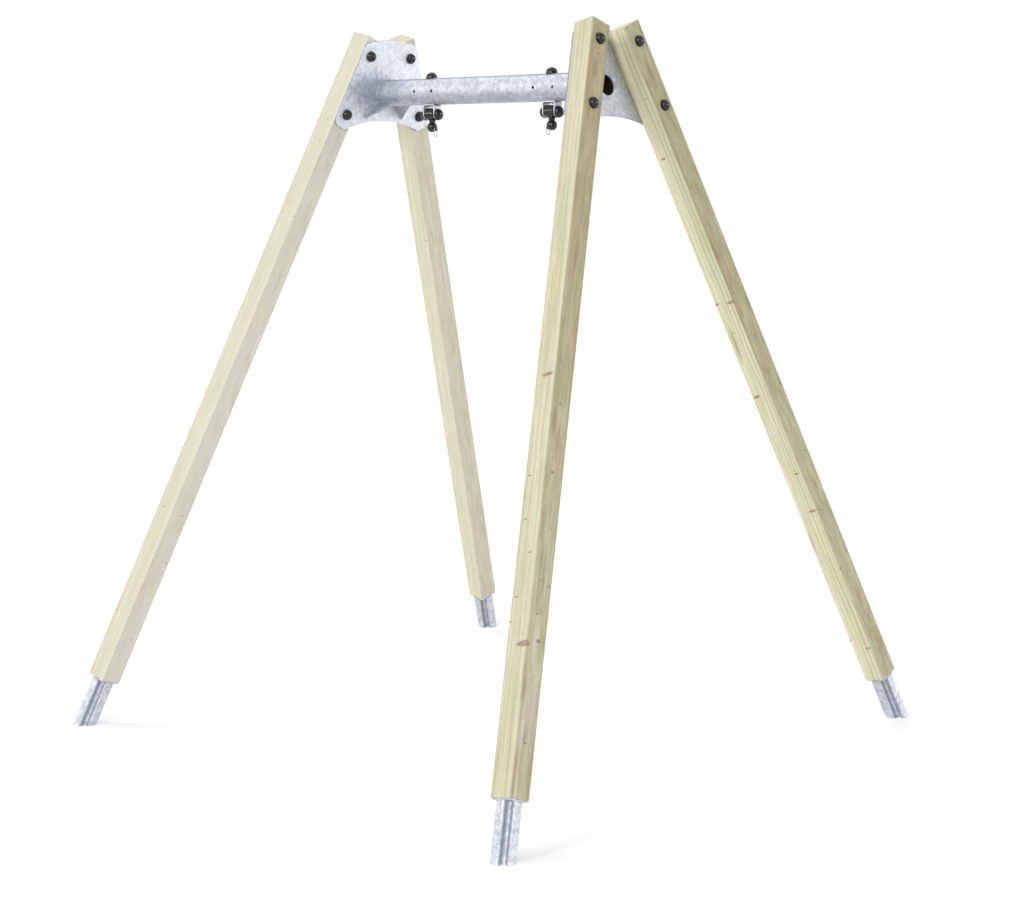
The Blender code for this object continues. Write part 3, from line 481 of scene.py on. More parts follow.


# Each post's own timber. pith and drift: where its heart line runs, level with the crossbar,
# and how far it moves over each metre. tone and fade: brightness and bleaching. late: how
# clear the late wood is away from the bark and near it. rings: to a metre. edge: paleness at
# the bark, partly a painted highlight along the edge. top: the colour of the flank's painted
# light and shade, and its share low down and high up. Knots are (across, up, radius) and
# stains (across, up, half width, half height) on the front and on the flank, in mm from the
# post's centre and from the level of the crossbar.
TIMBER = {
    "left_front": dict(
        pith=(0.090, -0.030), drift=(0.003, -0.003), seed=1.0, tone=0.95, fade=0.42,
        late=(0.30, 0.30), rings=150.0, edge=0.40, top=("f4efe2", 0.55, 0.55), mottle=0.25,
        knots=([(-9, -146, 3), (-11, -241, 3), (-44, -579, 3), (8, -1900, 4), (39, -2380, 4)],
               [(-25, -324, 3), (-32, -578, 3), (-11, -1910, 4), (-28, -2121, 4),
                (-15, -2474, 4)])),
    "left_back": dict(
        pith=(0.080, -0.050), drift=(-0.003, 0.003), seed=2.0, tone=1.16, fade=0.36,
        late=(0.30, 0.45), rings=120.0, edge=0.25, top=("dcd7c4", 0.50, 0.50), mottle=0.35,
        knots=([(-39, -259, 3), (31, -464, 3), (-40, -680, 4)], [(-31, -753, 4)])),
    "right_front": dict(
        pith=(-0.090, 0.020), drift=(0.004, 0.003), seed=3.0, tone=1.0, fade=0.0,
        late=(0.22, 0.20), rings=120.0, edge=0.45, top=("a5966a", 0.06, 0.54), mottle=0.55,
        knots=([(6, -1165, 11), (-29, -1536, 4), (-27, -1695, 4), (21, -1816, 4),
                (-21, -1972, 4.5), (-37, -2059, 4), (34, -2138, 16.5)],
               [(2, 100, 6), (6, -323, 4), (14, -577, 4), (-29, -1109, 8), (-3, -1268, 6),
                (-13, -1521, 8), (9, -1719, 4), (-7, -1909, 4), (36, -1923, 6),
                (-12, -2029, 5), (12, -2121, 11), (0, -2475, 6)]),
        stains=([], [(-22, -1345, 14, 50), (-29, -1700, 6, 80), (-10, 30, 16, 50),
                     (-18, -150, 11, 50), (6, -1915, 7, 30), (0, -700, 12, 100)])),
    "right_back": dict(
        pith=(-0.085, 0.020), drift=(-0.004, 0.003), seed=4.0, tone=1.20, fade=0.06,
        late=(0.10, 0.75), rings=60.0, edge=0.12, top=("a39c74", 0.52, 0.69), mottle=0.90,
        knots=([(22, -50, 3), (-16, -294, 6), (-40, -913, 7), (29, -916, 9), (-16, -1042, 4),
                (-25, -1327, 9), (23, -1683, 6), (21, -1857, 9), (-45, -2470, 6),
                (24, -2512, 6)],
               [(-25, -462, 6), (-6, -753, 4), (-30, -885, 9), (32, -1313, 8),
                (23, -1613, 5), (-23, -1866, 6), (36, -2092, 6), (-40, -2132, 6)]),
        # The first stain on the front, tall and high up near the inner edge, is partly a resin
        # stain and partly painted shade where the front post shades that face.
        stains=([(-38, 60, 17, 230), (-30, -1100, 9, 80), (-36, -2000, 9, 90)],
                [(0, 50, 10, 60)])),
}

# The post is a stack of square outlines that draw in at each end by a quarter circle. One
# more outline inside it keeps the shading of the end flat.
quarter = np.linspace(0, math.pi / 2, 5)
inset = POST_END_EASE * np.append(2.2, 1 - np.sin(quarter))
rise = POST_END_EASE * np.append(0, 1 - np.cos(quarter))
square = np.array([(1, 1), (-1, 1), (-1, -1), (1, -1)], float)
rings = []
for distance, height in ([*zip(inset, POST_FOOT + rise)]
                         + [*zip(inset[::-1], POST_TOP - rise[::-1])]):
    radius = POST_EDGE - min(distance, POST_EDGE_LOSS)
    outline = rounded(square * (HALF - distance), radius, 6, hold=0.001)
    rings.append(np.column_stack([outline, np.full(len(outline), height)]))
timber, faces = skin(np.array(rings))
for where, side, row in POSTS:
    wood = pine(f"treated_pine_{where}", side, **TIMBER[where])
    piece(f"timber_{where}", [(timber + (POST_CENTRE, 0.0, 0.0), faces)], wood, "frame", "pine",
          [f"post_{where}"], *post_axes(side, row), angle=60.0, field=timber)

# ---------------------------------------------------------------- footings
# Each post stands on a folded steel anchor with a groove down each corner, cut level at the
# ground, and a square head plate welded on top. All of it is galvanised after welding.

SHOE_HALF_WIDTH = 0.0455
SHOE_ARM_HALF = 0.0193            # half the flat between two grooves
SHOE_GROOVE_DEPTH = 0.0210        # along the diagonal
SHOE_GROOVE_FLOOR = 0.0130
SHOE_FOLD = 0.0035                # outer radius of the folds
SHOE_FOLD_INSIDE = 0.0010
SHOE_WALL = 0.003
HEAD_HALF = 0.045
HEAD_CORNER = 0.006
HEAD_THICKNESS = 0.005
HEAD_EASE = 0.0007
SEAT_BEAD = 0.0026                # leg of the weld under the head plate
SEAT_STEP = 0.0011                # spacing of its points
DOWEL_RADIUS = 0.008
DOWEL_LENGTH = 0.110
DOWEL_CHAMFER = 0.002
SUNK = 0.0005                     # how far a wall runs into the piece it is welded to
# Painted shade on zinc is mixed toward this colour.
ZINC_SHADE = "8a92a1"


def galvanised(name, pale, dark, joint_shade=(), bore=(), painted_shade=0.0):
    """Hot-dip zinc: two sizes of crystal, stretched and blurred into one another.

    Each zone of painted shade is mixed in by a share that falls off over its edge.
    """
    # Satin, blue-grey metal. The crystals (spangle), 6 to 15 mm across, differ a little in
    # brightness and in gloss, and the coat is faintly uneven. Painted shade darkens it round a
    # joint, where the shadow and dark reflection of tube and webs fall (y, z, height over width,
    # share), and down in a groove or on a cut edge (a share). A tube (bore: its radius, and that
    # inside) has painted shade along its top and over its lower side, and is brown-black inside.
    material, tree, shader = new_material(name)
    place = add(tree, "TexCoord").outputs["Object"]
    sway = add(tree, "TexNoise", place, Scale=42.0, Detail=3.0, Roughness=0.65)
    sway = add(tree, "VectorMath SUBTRACT", sway.outputs["Color"], (0.5, 0.5, 0.5))
    bent = add(tree, "VectorMath MULTIPLY_ADD", sway, (0.030, 0.030, 0.030), place)
    large = add(tree, "TexVoronoi SMOOTH_F1", bent, Scale=74.0, Smoothness=0.6)
    small = add(tree, "TexVoronoi SMOOTH_F1", bent, Scale=160.0, Smoothness=0.4)
    large = add(tree, "SeparateColor", large.outputs["Color"])
    small = add(tree, "SeparateColor", small.outputs["Color"])
    mixed = add(tree, "Mix", 0.38, large, small)
    cloud = add(tree, "TexNoise", place, Scale=17.0, Detail=2.0)
    mixed = add(tree, "Mix", 0.28, mixed, cloud)
    base = add(tree, "ValToRGB", mixed, stops=[(0.25, dark), (0.72, pale)])
    # Painted shade round the tube's joint, where its shadow and dark reflection fall.
    if joint_shade:
        across, up, tall, most = joint_shade
        away = add(tree, "VectorMath SUBTRACT", bent, (0.0, across, up))
        away = add(tree, "VectorMath MULTIPLY", away, (0.0, 1.0, 1 / tall))
        away = add(tree, "VectorMath LENGTH", away)
        away = add(tree, "Math MULTIPLY_ADD", mixed, 0.13, away)
        share = add(tree, "MapRange SMOOTHSTEP", away, 0.252, 0.105, 0.0, most)
        base = add(tree, "Mix RGBA", share, base, colour(ZINC_SHADE))
    if bore:
        outer, inner = bore
        # Painted shade by height round the tube: a dark line along its top and a darker lower
        # side, less at the very bottom.
        away = add(tree, "VectorMath SUBTRACT", place, (0.0, 0.0, BAR_HEIGHT))
        away = add(tree, "VectorMath MULTIPLY", away, (0.0, 1.0, 1.0))
        high = add(tree, "SeparateXYZ", away).outputs["Z"]
        high = add(tree, "MapRange", high, -outer, outer)
        high = add(tree, "ValToRGB", high, stops=[
            (0.0, "747474"), (0.10, "b0b0b0"), (0.26, "a8a8a8"), (0.44, "000000"),
            (0.90, "101010"), (0.975, "f2f2f2")])
        base = add(tree, "Mix RGBA", high, base, colour("c6cad2"), blend_type="MULTIPLY")
        away = add(tree, "VectorMath LENGTH", away)
        share = add(tree, "MapRange", away, inner + 0.002, inner + 0.001)
        base = add(tree, "Mix RGBA", share, base, colour("7f7962"))
    # Painted shade down in a groove or on a cut edge, by the depth held at each point.
    if painted_shade:
        down = add(tree, "Attribute", attribute_name="field").outputs["Vector"]
        down = add(tree, "SeparateXYZ", down)
        share = add(tree, "MapRange SMOOTHSTEP", down, 0.006, 0.024, 0.0, painted_shade)
        base = add(tree, "Mix RGBA", share, base, colour(ZINC_SHADE))
    rough = add(tree, "MapRange", mixed, 0.2, 0.8, 0.66, 0.56)
    bump = add(tree, "Bump", Height=mixed, Strength=0.35, Distance=0.0004)
    feed(shader, {"Base Color": base, "Roughness": rough, "Normal": bump, "Metallic": 1.0})
    return material


def moved_in(corners, distance):
    """A closed anticlockwise outline moved in: each corner goes along its mitre."""
    arriving = corners - np.roll(corners, 1, 0)
    leaving = np.roll(corners, -1, 0) - corners
    arriving /= np.linalg.norm(arriving, axis=1, keepdims=True)
    leaving /= np.linalg.norm(leaving, axis=1, keepdims=True)
    total = arriving + leaving
    inward = np.column_stack([-total[:, 1], total[:, 0]])
    return corners + inward * distance / (1 + (arriving * leaving).sum(1, keepdims=True))


def spaced(outline, step):
    """A closed outline's points placed again at an even spacing along its length."""
    closed = np.vstack([outline, outline[:1]])
    run = np.append(0, np.cumsum(np.linalg.norm(np.diff(closed, axis=0), axis=1)))
    count = int(run[-1] / step)
    even = np.arange(count) * run[-1] / count
    return np.column_stack([np.interp(even, run, axis) for axis in closed.T])


def outward(outline):
    """Unit normals of a closed anticlockwise outline, from the chord between neighbours."""
    chord = np.roll(outline, -1, 0) - np.roll(outline, 1, 0)
    normal = np.column_stack([chord[:, 1], -chord[:, 0]])
    return normal / np.linalg.norm(normal, axis=1, keepdims=True)


def panel(outline, holes, start, end, ease):
    """A flat plate from (across, up) outlines, between two levels, with eased rims.

    A ring per step of a quarter circle goes round each edge, and triangles fill the faces.
    """
    quarter = np.linspace(0, math.pi / 2, 4)
    inset = ease * np.append(1.8, 1 - np.sin(quarter))
    rise = ease * np.append(0, 1 - np.cos(quarter))
    distance = np.append(inset, inset[::-1])
    level = np.append(start + rise, end - rise[::-1])
    points, faces, fronts, backs, base = [], [], [], [], 0
    for edge in [outline, *holes]:
        rings = edge - outward(edge) * distance[:, None, None]
        rings = np.dstack([rings, np.repeat(level[:, None], len(edge), 1)])
        spots, cells = skin(rings)
        count = len(edge)
        fronts.append(np.arange(count) + base)
        backs.append(np.arange(count) + base + count * (len(level) - 1))
        points.append(spots[:-2])                # without skin's fans
        faces.append(cells[:-2 * count] + base)
        base += len(spots) - 2
    points = np.vstack(points)
    for group, flip in ((fronts, True), (backs, False)):
        loops = [[Vector((*spot[:2], 0.0)) for spot in points[ring]] for ring in group]
        cells = np.concatenate(group)[np.array(tessellate_polygon(loops))]
        a, b, c = (points[cells[:, corner], :2] for corner in range(3))
        area = ((b - a)[:, 0] * (c - a)[:, 1] - (b - a)[:, 1] * (c - a)[:, 0]).sum()
        if (area > 0) == flip:
            cells = cells[:, ::-1]
        faces.append(np.column_stack([cells, np.full(len(cells), -1)]))
    return points, np.vstack(faces)


def lathe(profile, segments, looped=False):
    """A solid turned about Z: (radius, height) pairs, radius times cosine and sine."""
    angle = np.arange(segments) * math.tau / segments
    profile = np.asarray(profile, float)
    x = profile[:, :1] * np.cos(angle)
    y = profile[:, :1] * np.sin(angle)
    return skin(np.dstack([x, y, np.repeat(profile[:, 1:], segments, 1)]), looped)


def anchor_shells(way):
    """Folded wall, head plate, weld and dowel, round the post's centre line.

    The wall is the section outside and inside, from under the head down to the ground's
    slope across it. The weld's leg waves by two sines of its run.
    """
    seat = POST_FOOT - GAP
    under = seat - HEAD_THICKNESS
    floor_half = SHOE_GROOVE_FLOOR / 2
    mouth = (SHOE_HALF_WIDTH + SHOE_ARM_HALF) / math.sqrt(2) - SHOE_GROOVE_DEPTH
    near, far = (mouth - floor_half) / math.sqrt(2), (mouth + floor_half) / math.sqrt(2)
    arm = np.array([(SHOE_HALF_WIDTH, SHOE_ARM_HALF), (far, near), (near, far),
                    (SHOE_ARM_HALF, SHOE_HALF_WIDTH)])
    section = np.vstack([arm @ turn("Z", corner * math.pi / 2)[:2, :2].T
                         for corner in range(4)])
    outer = rounded(section, SHOE_FOLD, 5, hold=0.0006)
    inner = rounded(moved_in(section, SHOE_WALL), SHOE_FOLD_INSIDE, 5, hold=0.0006)
    rings = []
    for outline, cut in ((outer, False), (outer, True), (inner, True), (inner, False)):
        foot = ground_level(POST_CENTRE + outline[:, 0], outline[:, 1], way)
        height = foot if cut else np.full(len(outline), under + SUNK)
        rings.append(np.column_stack([outline, height]))
    wall = skin(np.array(rings), looped=True)

    corners = np.array([(1, 1), (-1, 1), (-1, -1), (1, -1)]) * HEAD_HALF
    head = panel(rounded(corners, HEAD_CORNER, 8), [], under, seat, HEAD_EASE)

    line = spaced(outer, SEAT_STEP)
    run = np.arange(len(line)) * SEAT_STEP
    size = SEAT_BEAD * (1 + 0.10 * np.sin(run * 2600) + 0.08 * np.sin(run * 310))
    rings = []
    for out, down in ((-0.2, -0.1), (1.0, -0.1), (0.72, 0.30), (0.30, 0.72), (0.0, 1.15),
                      (-0.2, 1.15)):
        rings.append(np.column_stack([line + outward(line) * (size * out)[:, None],
                                      under - size * down]))
    weld = skin(np.array(rings), looped=True)

    top = POST_FOOT + DOWEL_LENGTH
    dowel = lathe([(DOWEL_RADIUS, under + 2 * SUNK), (DOWEL_RADIUS, top - DOWEL_CHAMFER),
                   (DOWEL_RADIUS - DOWEL_CHAMFER, top)], 32)
    return [wall, head, weld, dowel]


def groove_shade(points):
    """How far inside the square round the section, less on one wall of each groove.

    The depth sets painted shade down in the groove, fuller on the wall that lies in deeper
    shade. The walls are told apart by the bearing from the corner's diagonal, in degrees.
    """
    across, over = points[:, :2].T
    depth = SHOE_HALF_WIDTH - np.maximum(abs(across), abs(over))
    bearing = np.degrees(np.arctan2(over, across)) % 90 - 45
    return depth * np.clip(0.55 - bearing / 16, 0.25, 1.0)


zinc = galvanised("hot_dip_galvanised_steel", "d9dbe0", "bdc1c8")
# The anchors' zinc has painted shade down in the grooves.
anchor_zinc = galvanised("hot_dip_galvanised_anchor", "d2d5db", "b3b8c0", painted_shade=0.62)
for where, side, row in POSTS:
    shells = anchor_shells(row * side)
    # The groove's depth sets the painted shade in it.
    depth = np.zeros(sum(len(points) for points, _ in shells))
    wall = shells[0][0]
    depth[:len(wall)] = groove_shade(wall)
    shells = [(points + (POST_CENTRE, 0.0, 0.0), faces) for points, faces in shells]
    piece(f"anchor_{where}", shells, anchor_zinc, "frame", "galvanised_steel",
          [f"footing_{where}"], *post_axes(side, row), field=depth[:, None].repeat(3, 1))

# ---------------------------------------------------------------- end plates
# One 8 mm steel plate at each end of the crossbar holds the two posts. Its arched top, round
# feet and hollow lower edge are cut from sheet; the eye shows the inside of the tube.

PLATE_SETBACK = 0.003             # from the post's outer face in to the plate's edge
PLATE_CREST = 0.2195              # top of the arch above the crossbar's axis
PLATE_CREST_RADIUS = 0.550
PLATE_BELLY = 0.118               # top of the hollow below that axis
PLATE_BELLY_RADIUS = 0.575
PLATE_FOOT_PAST_BOLT = 0.059
PLATE_FOOT_RADIUS = 0.030
PLATE_HEEL_RADIUS = 0.022
PLATE_SHOULDER_RADIUS = 0.020
PLATE_EYE_RADIUS = 0.0395
PLATE_EASE = 0.0008
BOLT_UPPER = 0.160                # along the post from the level of the crossbar
BOLT_LOWER = -0.102
BOLT_HOLE = 0.0066                # radius
# The plate's rim gets painted shade, counted as if deep in a groove.
RIM_SHADE_DEPTH = 30               # a cut edge's rim counts as this many times as deep
# Pale and dark crystals, paler on the left plate and darker on the right as painted light and
# shade; and painted shade round the tube's joint, where the shadow and dark reflection of tube
# and webs fall: y, z, height over width, share.
PLATE_TONES_WITH_SHADE = {"left": ("dfe2e8", "ced1d8"), "right": ("c4c7cd", "b0b4bc")}
JOINT_SHADE_ZONE = (-0.085, 2.632, 0.50, 0.57)


def arc(centre, radius, start, end, steps):
    """Points on a circle, by cosine and sine, from one angle to another, both included."""
    angle = np.linspace(start, end, steps + 1)
    return np.column_stack([centre[0] + radius * np.cos(angle),
                            centre[1] + radius * np.sin(angle)])


def hole(centre, radius, steps):
    """A circle that runs clockwise, as a hole in a plate."""
    return arc(centre, radius, 0, math.tau, steps)[:-1][::-1]


def travel(origin, heading, centre, reach):
    """How far a line goes from its origin before it leaves a circle, by the quadratic."""
    away = origin - centre
    half = away @ heading
    return -half + math.sqrt(half ** 2 - away @ away + reach ** 2)


def plate_outline():
    """Half the plate as arcs tangent to one another, then the same half mirrored."""
    down = np.array([math.sin(POST_SPREAD), -math.cos(POST_SPREAD)])
    out = np.array([math.cos(POST_SPREAD), math.sin(POST_SPREAD)])
    margin = HALF - PLATE_SETBACK
    crest = np.array([0.0, PLATE_CREST - PLATE_CREST_RADIUS])
    belly = np.array([0.0, -PLATE_BELLY - PLATE_BELLY_RADIUS])
    bolt = np.array([POST_BAR_OFFSET, 0.0]) + down * -BOLT_LOWER
    start = bolt + out * (margin - PLATE_SHOULDER_RADIUS)
    rise = travel(start, -down, crest, PLATE_CREST_RADIUS - PLATE_SHOULDER_RADIUS)
    shoulder = start - down * rise
    bend = math.atan2(shoulder[1] - crest[1], shoulder[0])
    foot = (bolt + out * (margin - PLATE_FOOT_RADIUS)
            + down * (PLATE_FOOT_PAST_BOLT - PLATE_FOOT_RADIUS))
    start = bolt + down * (PLATE_FOOT_PAST_BOLT - PLATE_HEEL_RADIUS)
    heel = start + out * travel(start, out, belly, PLATE_BELLY_RADIUS + PLATE_HEEL_RADIUS)
    hollow = math.atan2(belly[1] - heel[1], belly[0] - heel[0])
    half = np.vstack([
        arc(crest, PLATE_CREST_RADIUS, math.pi / 2, bend, 30),
        arc(shoulder, PLATE_SHOULDER_RADIUS, bend, POST_SPREAD, 14)[1:],
        arc(foot, PLATE_FOOT_RADIUS, POST_SPREAD, POST_SPREAD - math.pi / 2, 24),
        arc(heel, PLATE_HEEL_RADIUS, POST_SPREAD - math.pi / 2, hollow, 16),
        arc(belly, PLATE_BELLY_RADIUS, hollow + math.pi, math.pi / 2, 40)[1:]])
    whole = np.vstack([half, half[-2:0:-1] * (-1, 1)])
    return whole[::-1]


bolts = [(across * (POST_BAR_OFFSET - level * math.sin(POST_SPREAD)),
          level * math.cos(POST_SPREAD))
         for across in (-1, 1) for level in (BOLT_UPPER, BOLT_LOWER)]
holes = [hole((0, 0), PLATE_EYE_RADIUS, 96)] + [hole(middle, BOLT_HOLE, 24) for middle in bolts]
flat, faces = panel(plate_outline(), holes, 0.0, PLATE, PLATE_EASE)
flat = flat[:, [2, 0, 1]]
# Painted shade on the plate's rim, through its thickness.
rim_shade = np.minimum(flat[:, :1], PLATE - flat[:, :1]) * RIM_SHADE_DEPTH
for side_name, side in SIDES.items():
    # The plates' tones are painted light and shade: paler on the left plate, darker on the right.
    # Each also has painted shade round the tube's joint and on its rim.
    plate_zinc = galvanised(f"hot_dip_galvanised_plate_{side_name}", *PLATE_TONES_WITH_SHADE[side_name],
                            joint_shade=JOINT_SHADE_ZONE, painted_shade=0.65)
    piece(f"head_plate_{side_name}", [(flat, faces)], plate_zinc, "frame", "galvanised_steel",
          [f"end_plate_{side_name}"], *frame_axes(side), field=rim_shade.repeat(3, 1))

# ---------------------------------------------------------------- crossbar
# A drawn steel tube, 108 mm across with a 4 mm wall, its ends cut to the lean of the end
# plates. Spare holes either side of each hanger run through it from front to back.

BAR_RADIUS = 0.054
BAR_WALL = 0.004
BAR_INSIDE = BAR_RADIUS - BAR_WALL
BAR_SEGMENTS = 120
BAR_PLAIN = (0.45, 0.6)           # rings of points along the plain ends
HANGER_SPACING = 0.676
SPARE_HOLE_RADIUS = 0.0062
SPARE_HOLE_OFFSET = 0.0515        # along the tube from the hanger's middle
SPARE_HOLE_EASE = 0.0006
PATCH = 4                         # half the squares that a hole's patch takes, each way


def plate_face(up):
    """Half the tube's length this high above its axis: half the span, less the lean's part."""
    return BAR_SPAN / 2 - up * math.tan(FRAME_LEAN) - GAP / math.cos(FRAME_LEAN)


def crossbar_shell():
    """Outer and inner grids over (along, angle), joined at the ends and through the holes.

    Each hole replaces a square patch of the grid. Rings lead from the patch's border to a
    circle with an eased rim, through the wall, and out to the other grid's border.
    """
    squares = 2 * PATCH
    patch = BAR_RADIUS * math.tau / BAR_SEGMENTS * PATCH
    middles = [side * HANGER_SPACING / 2 + shift
               for side in (-1, 1) for shift in (-SPARE_HOLE_OFFSET, SPARE_HOLE_OFFSET)]
    cuts = [np.linspace(middle - patch, middle + patch, squares + 1) for middle in middles]
    plain = np.array(BAR_PLAIN)
    along = np.concatenate([-plain[::-1], *cuts[:2], [0.0], *cuts[2:], plain])
    firsts = [np.searchsorted(along, cut[0]) for cut in cuts]
    angle = np.arange(BAR_SEGMENTS) * math.tau / BAR_SEGMENTS
    half_turn = BAR_SEGMENTS // 2
    columns = len(along)
    points, faces, base = [], [], 0
    for radius, outside in ((BAR_RADIUS, True), (BAR_INSIDE, False)):
        z = radius * np.sin(angle)
        y = radius * np.cos(angle)
        x = np.repeat(along[:, None], BAR_SEGMENTS, 1)
        x[0], x[-1] = -plate_face(z), plate_face(z)
        grid = np.dstack([x, np.repeat(y[None], columns, 0), np.repeat(z[None], columns, 0)])
        index = np.arange(columns * BAR_SEGMENTS).reshape(columns, BAR_SEGMENTS) + base
        keep = np.ones((columns - 1, BAR_SEGMENTS), bool)
        for first in firsts:
            for centre in (0, half_turn):
                rows = np.arange(centre - PATCH, centre + PATCH) % BAR_SEGMENTS
                keep[first:first + squares, rows] = False
        after = np.roll(index, -1, 1)
        quads = np.stack([index[:-1], index[1:], after[1:], after[:-1]], -1)[keep]
        points.append(grid.reshape(-1, 3))
        faces.append(quads if outside else quads[:, ::-1])
        base += columns * BAR_SEGMENTS
    index = np.arange(base).reshape(2, columns, BAR_SEGMENTS)
    for end, flip in ((0, False), (-1, True)):
        ring, other = index[0, end], index[1, end]
        rim = np.stack([ring, np.roll(ring, -1), np.roll(other, -1), other], -1)
        faces.append(rim[:, ::-1] if flip else rim)

    # A walk round a patch's border, and the rim's profile: (over the hole's edge, down).
    walk, still = np.arange(squares), np.full(squares, squares)
    column = np.concatenate([walk, still, squares - walk, still * 0])
    row = np.concatenate([still * 0, walk, still, squares - walk])
    rim = [(1.6, 0.0), (1.0, 0.0), (0.5, 0.13), (0.13, 0.5), (0.0, 1.0)]
    for first, middle in zip(firsts, middles):
        for centre, facing in ((0, 1), (half_turn, -1)):
            i, j = column + first, (row + centre - PATCH) % BAR_SEGMENTS
            border = points[0].reshape(columns, BAR_SEGMENTS, 3)[i, j]
            bearing = np.arctan2(border[:, 2], border[:, 0] - middle)
            rings = [index[0, i, j]]
            for wall, sense, profile in ((BAR_RADIUS, -1, rim), (BAR_INSIDE, 1, rim[::-1])):
                for over, down in profile:
                    reach = SPARE_HOLE_RADIUS + SPARE_HOLE_EASE * over
                    radius = wall + sense * SPARE_HOLE_EASE * down
                    z = reach * np.sin(bearing)
                    y = facing * np.sqrt(radius ** 2 - z ** 2)
                    points.append(np.column_stack([middle + reach * np.cos(bearing), y, z]))
                    rings.append(np.arange(len(i)) + base)
                    base += len(i)
            rings.append(index[1, i, j])
            rings = np.array(rings)
            after = np.roll(rings, -1, 1)
            quads = np.stack([rings[:-1], rings[1:], after[1:], after[:-1]], -1)
            faces.append(quads.reshape(-1, 4))
    return np.vstack(points), np.vstack(faces)


tube_zinc = galvanised("hot_dip_galvanised_tube", "d2d5db", "b5bac2",
                       bore=(BAR_RADIUS, BAR_INSIDE))
piece("crossbar", [crossbar_shell()], tube_zinc, "frame", "galvanised_steel",
      ["crossbar_tube"], origin=(0.0, 0.0, BAR_HEIGHT))

# ---------------------------------------------------------------- gussets
# Two triangular 8 mm webs at each end stiffen the joint under the tube, in planes through
# the tube's axis at 45 degrees. They are welded to tube and plate.

GUSSET = 0.008
GUSSET_ALONG = 0.116
GUSSET_REACH = 0.148              # from the tube's axis
GUSSET_TIP = 0.006
GUSSET_EASE = 0.0007
GUSSET_CORNER = 0.0005            # radius at the corners against tube and plate
GUSSET_TOE = 0.0020               # radius at the two cut-off tips
BEAD = 0.0025                     # leg of a weld
WELD_IN = 0.002                   # from the corner of tube and plate to a weld's start
UP_SHORT = 0.004                  # from a weld's end to the web's tip, on the plate
ALONG_SHORT = 0.003               # and on the tube


def bead(line, one, two):
    """A fillet weld: a low round section between two directions, carried along a line.

    Its leg waves by two sines of the length along the line.
    """
    run = np.append(0, np.cumsum(np.linalg.norm(np.diff(line, axis=0), axis=1)))
    size = BEAD * (1 + 0.07 * np.sin(run * 2400) + 0.07 * np.sin(run * 240 + 1.0))[:, None]
    section = ((-0.1, -0.1), (1.0, -0.05), (0.74, 0.26), (0.56, 0.56), (0.26, 0.74), (-0.05, 1.0))
    return np.stack([line + size * np.multiply(one, a) + size * np.multiply(two, b)
                     for a, b in section], 1)


def web(points, side, row):
    """(inward along the tube, out from its axis, across the web), turned down 45 degrees."""
    inward, reach, across = points.T
    y = row * (reach + across) * math.sin(math.pi / 4)
    z = (across - reach) * math.sin(math.pi / 4)
    return np.column_stack([side * (plate_face(z) - inward), y, z])


root = BAR_RADIUS + GAP
corners = [(0.0, root), (GUSSET_ALONG, root), (GUSSET_ALONG, root + GUSSET_TIP),
           (GUSSET_TIP, GUSSET_REACH), (0.0, GUSSET_REACH)]
radii = [GUSSET_CORNER, GUSSET_CORNER, GUSSET_TOE, GUSSET_TOE, GUSSET_CORNER]
outline = rounded(corners, radii, 5, hold=0.0008)
flat_shells = [panel(outline, [], -GUSSET / 2, GUSSET / 2, GUSSET_EASE)]
for face in (-1, 1):              # two welds on each face, ending short of the tips
    edge = face * GUSSET / 2
    up = np.linspace((0.0, root + WELD_IN, edge), (0.0, GUSSET_REACH - UP_SHORT, edge), 80)
    along = np.linspace((WELD_IN, root, edge), (GUSSET_ALONG - ALONG_SHORT, root, edge), 100)
    flat_shells.append(skin(bead(up, (1, 0, 0), (0, 0, face))))
    flat_shells.append(skin(bead(along, (0, 1, 0), (0, 0, face))))
# A darker copy of the zinc as painted shade, for the webs and the welds in the shade under and
# round the tube.
shaded_web_zinc = galvanised("hot_dip_galvanised_web", "b9bdc7", "9da3af")
for where, side, row in POSTS:
    piece(f"web_{where}", [(web(points, side, row), faces) for points, faces in flat_shells],
          shaded_web_zinc, "frame", "galvanised_steel", [f"gusset_{where}"],
          origin=(0.0, 0.0, BAR_HEIGHT))

# ---------------------------------------------------------------- welds round the tube
# A fillet weld runs round each end of the tube where it meets its plate. Its leg is a little
# larger than the gussets' and waves by two sines of the angle.

TUBE_BEAD = BEAD * 1.15
angle = np.arange(360) * math.tau / 360
size = TUBE_BEAD * (1 + 0.06 * np.sin(angle * 120) + 0.06 * np.sin(angle * 13))
for side_name, side in SIDES.items():
    rings = []
    for out, inward in ((-0.05, -0.05), (1.0, 0.0), (0.74, 0.28), (0.54, 0.54), (0.28, 0.74),
                        (-0.05, 1.0)):
        radius = BAR_RADIUS + size * out
        y, z = radius * np.cos(angle), radius * np.sin(angle)
        x = side * (plate_face(z) + GAP - np.maximum(size * inward, 0.0))
        rings.append(np.column_stack([x, y, z]))
    piece(f"tube_weld_{side_name}", [skin(np.array(rings), looped=True)], shaded_web_zinc, "frame",
          "galvanised_steel", origin=(0.0, 0.0, BAR_HEIGHT), angle=50.0)

# ---------------------------------------------------------------- caps
# Every bolt head and nut is covered by a domed black cap, moulded in nylon: a short skirt,
# a fine step where the dome snaps on, and a smooth half-gloss dome.

WASHER_RADIUS = 0.0165
CAP_WALL = 0.0035
CAP_SKIRT = 0.0035                # height
CAP_STEP = 0.0004                 # from the skirt in to the dome
CAP_EASE = 0.0003
CAP_CREST = 0.0005                # radius of the first ring at the crown
CAP_STACK = 0.0125 + CAP_WALL     # washer, nut and wall
POST_CAP_ROOM = 0.0020            # round the washer
POST_CAP_RISE = 0.0065            # over the nut


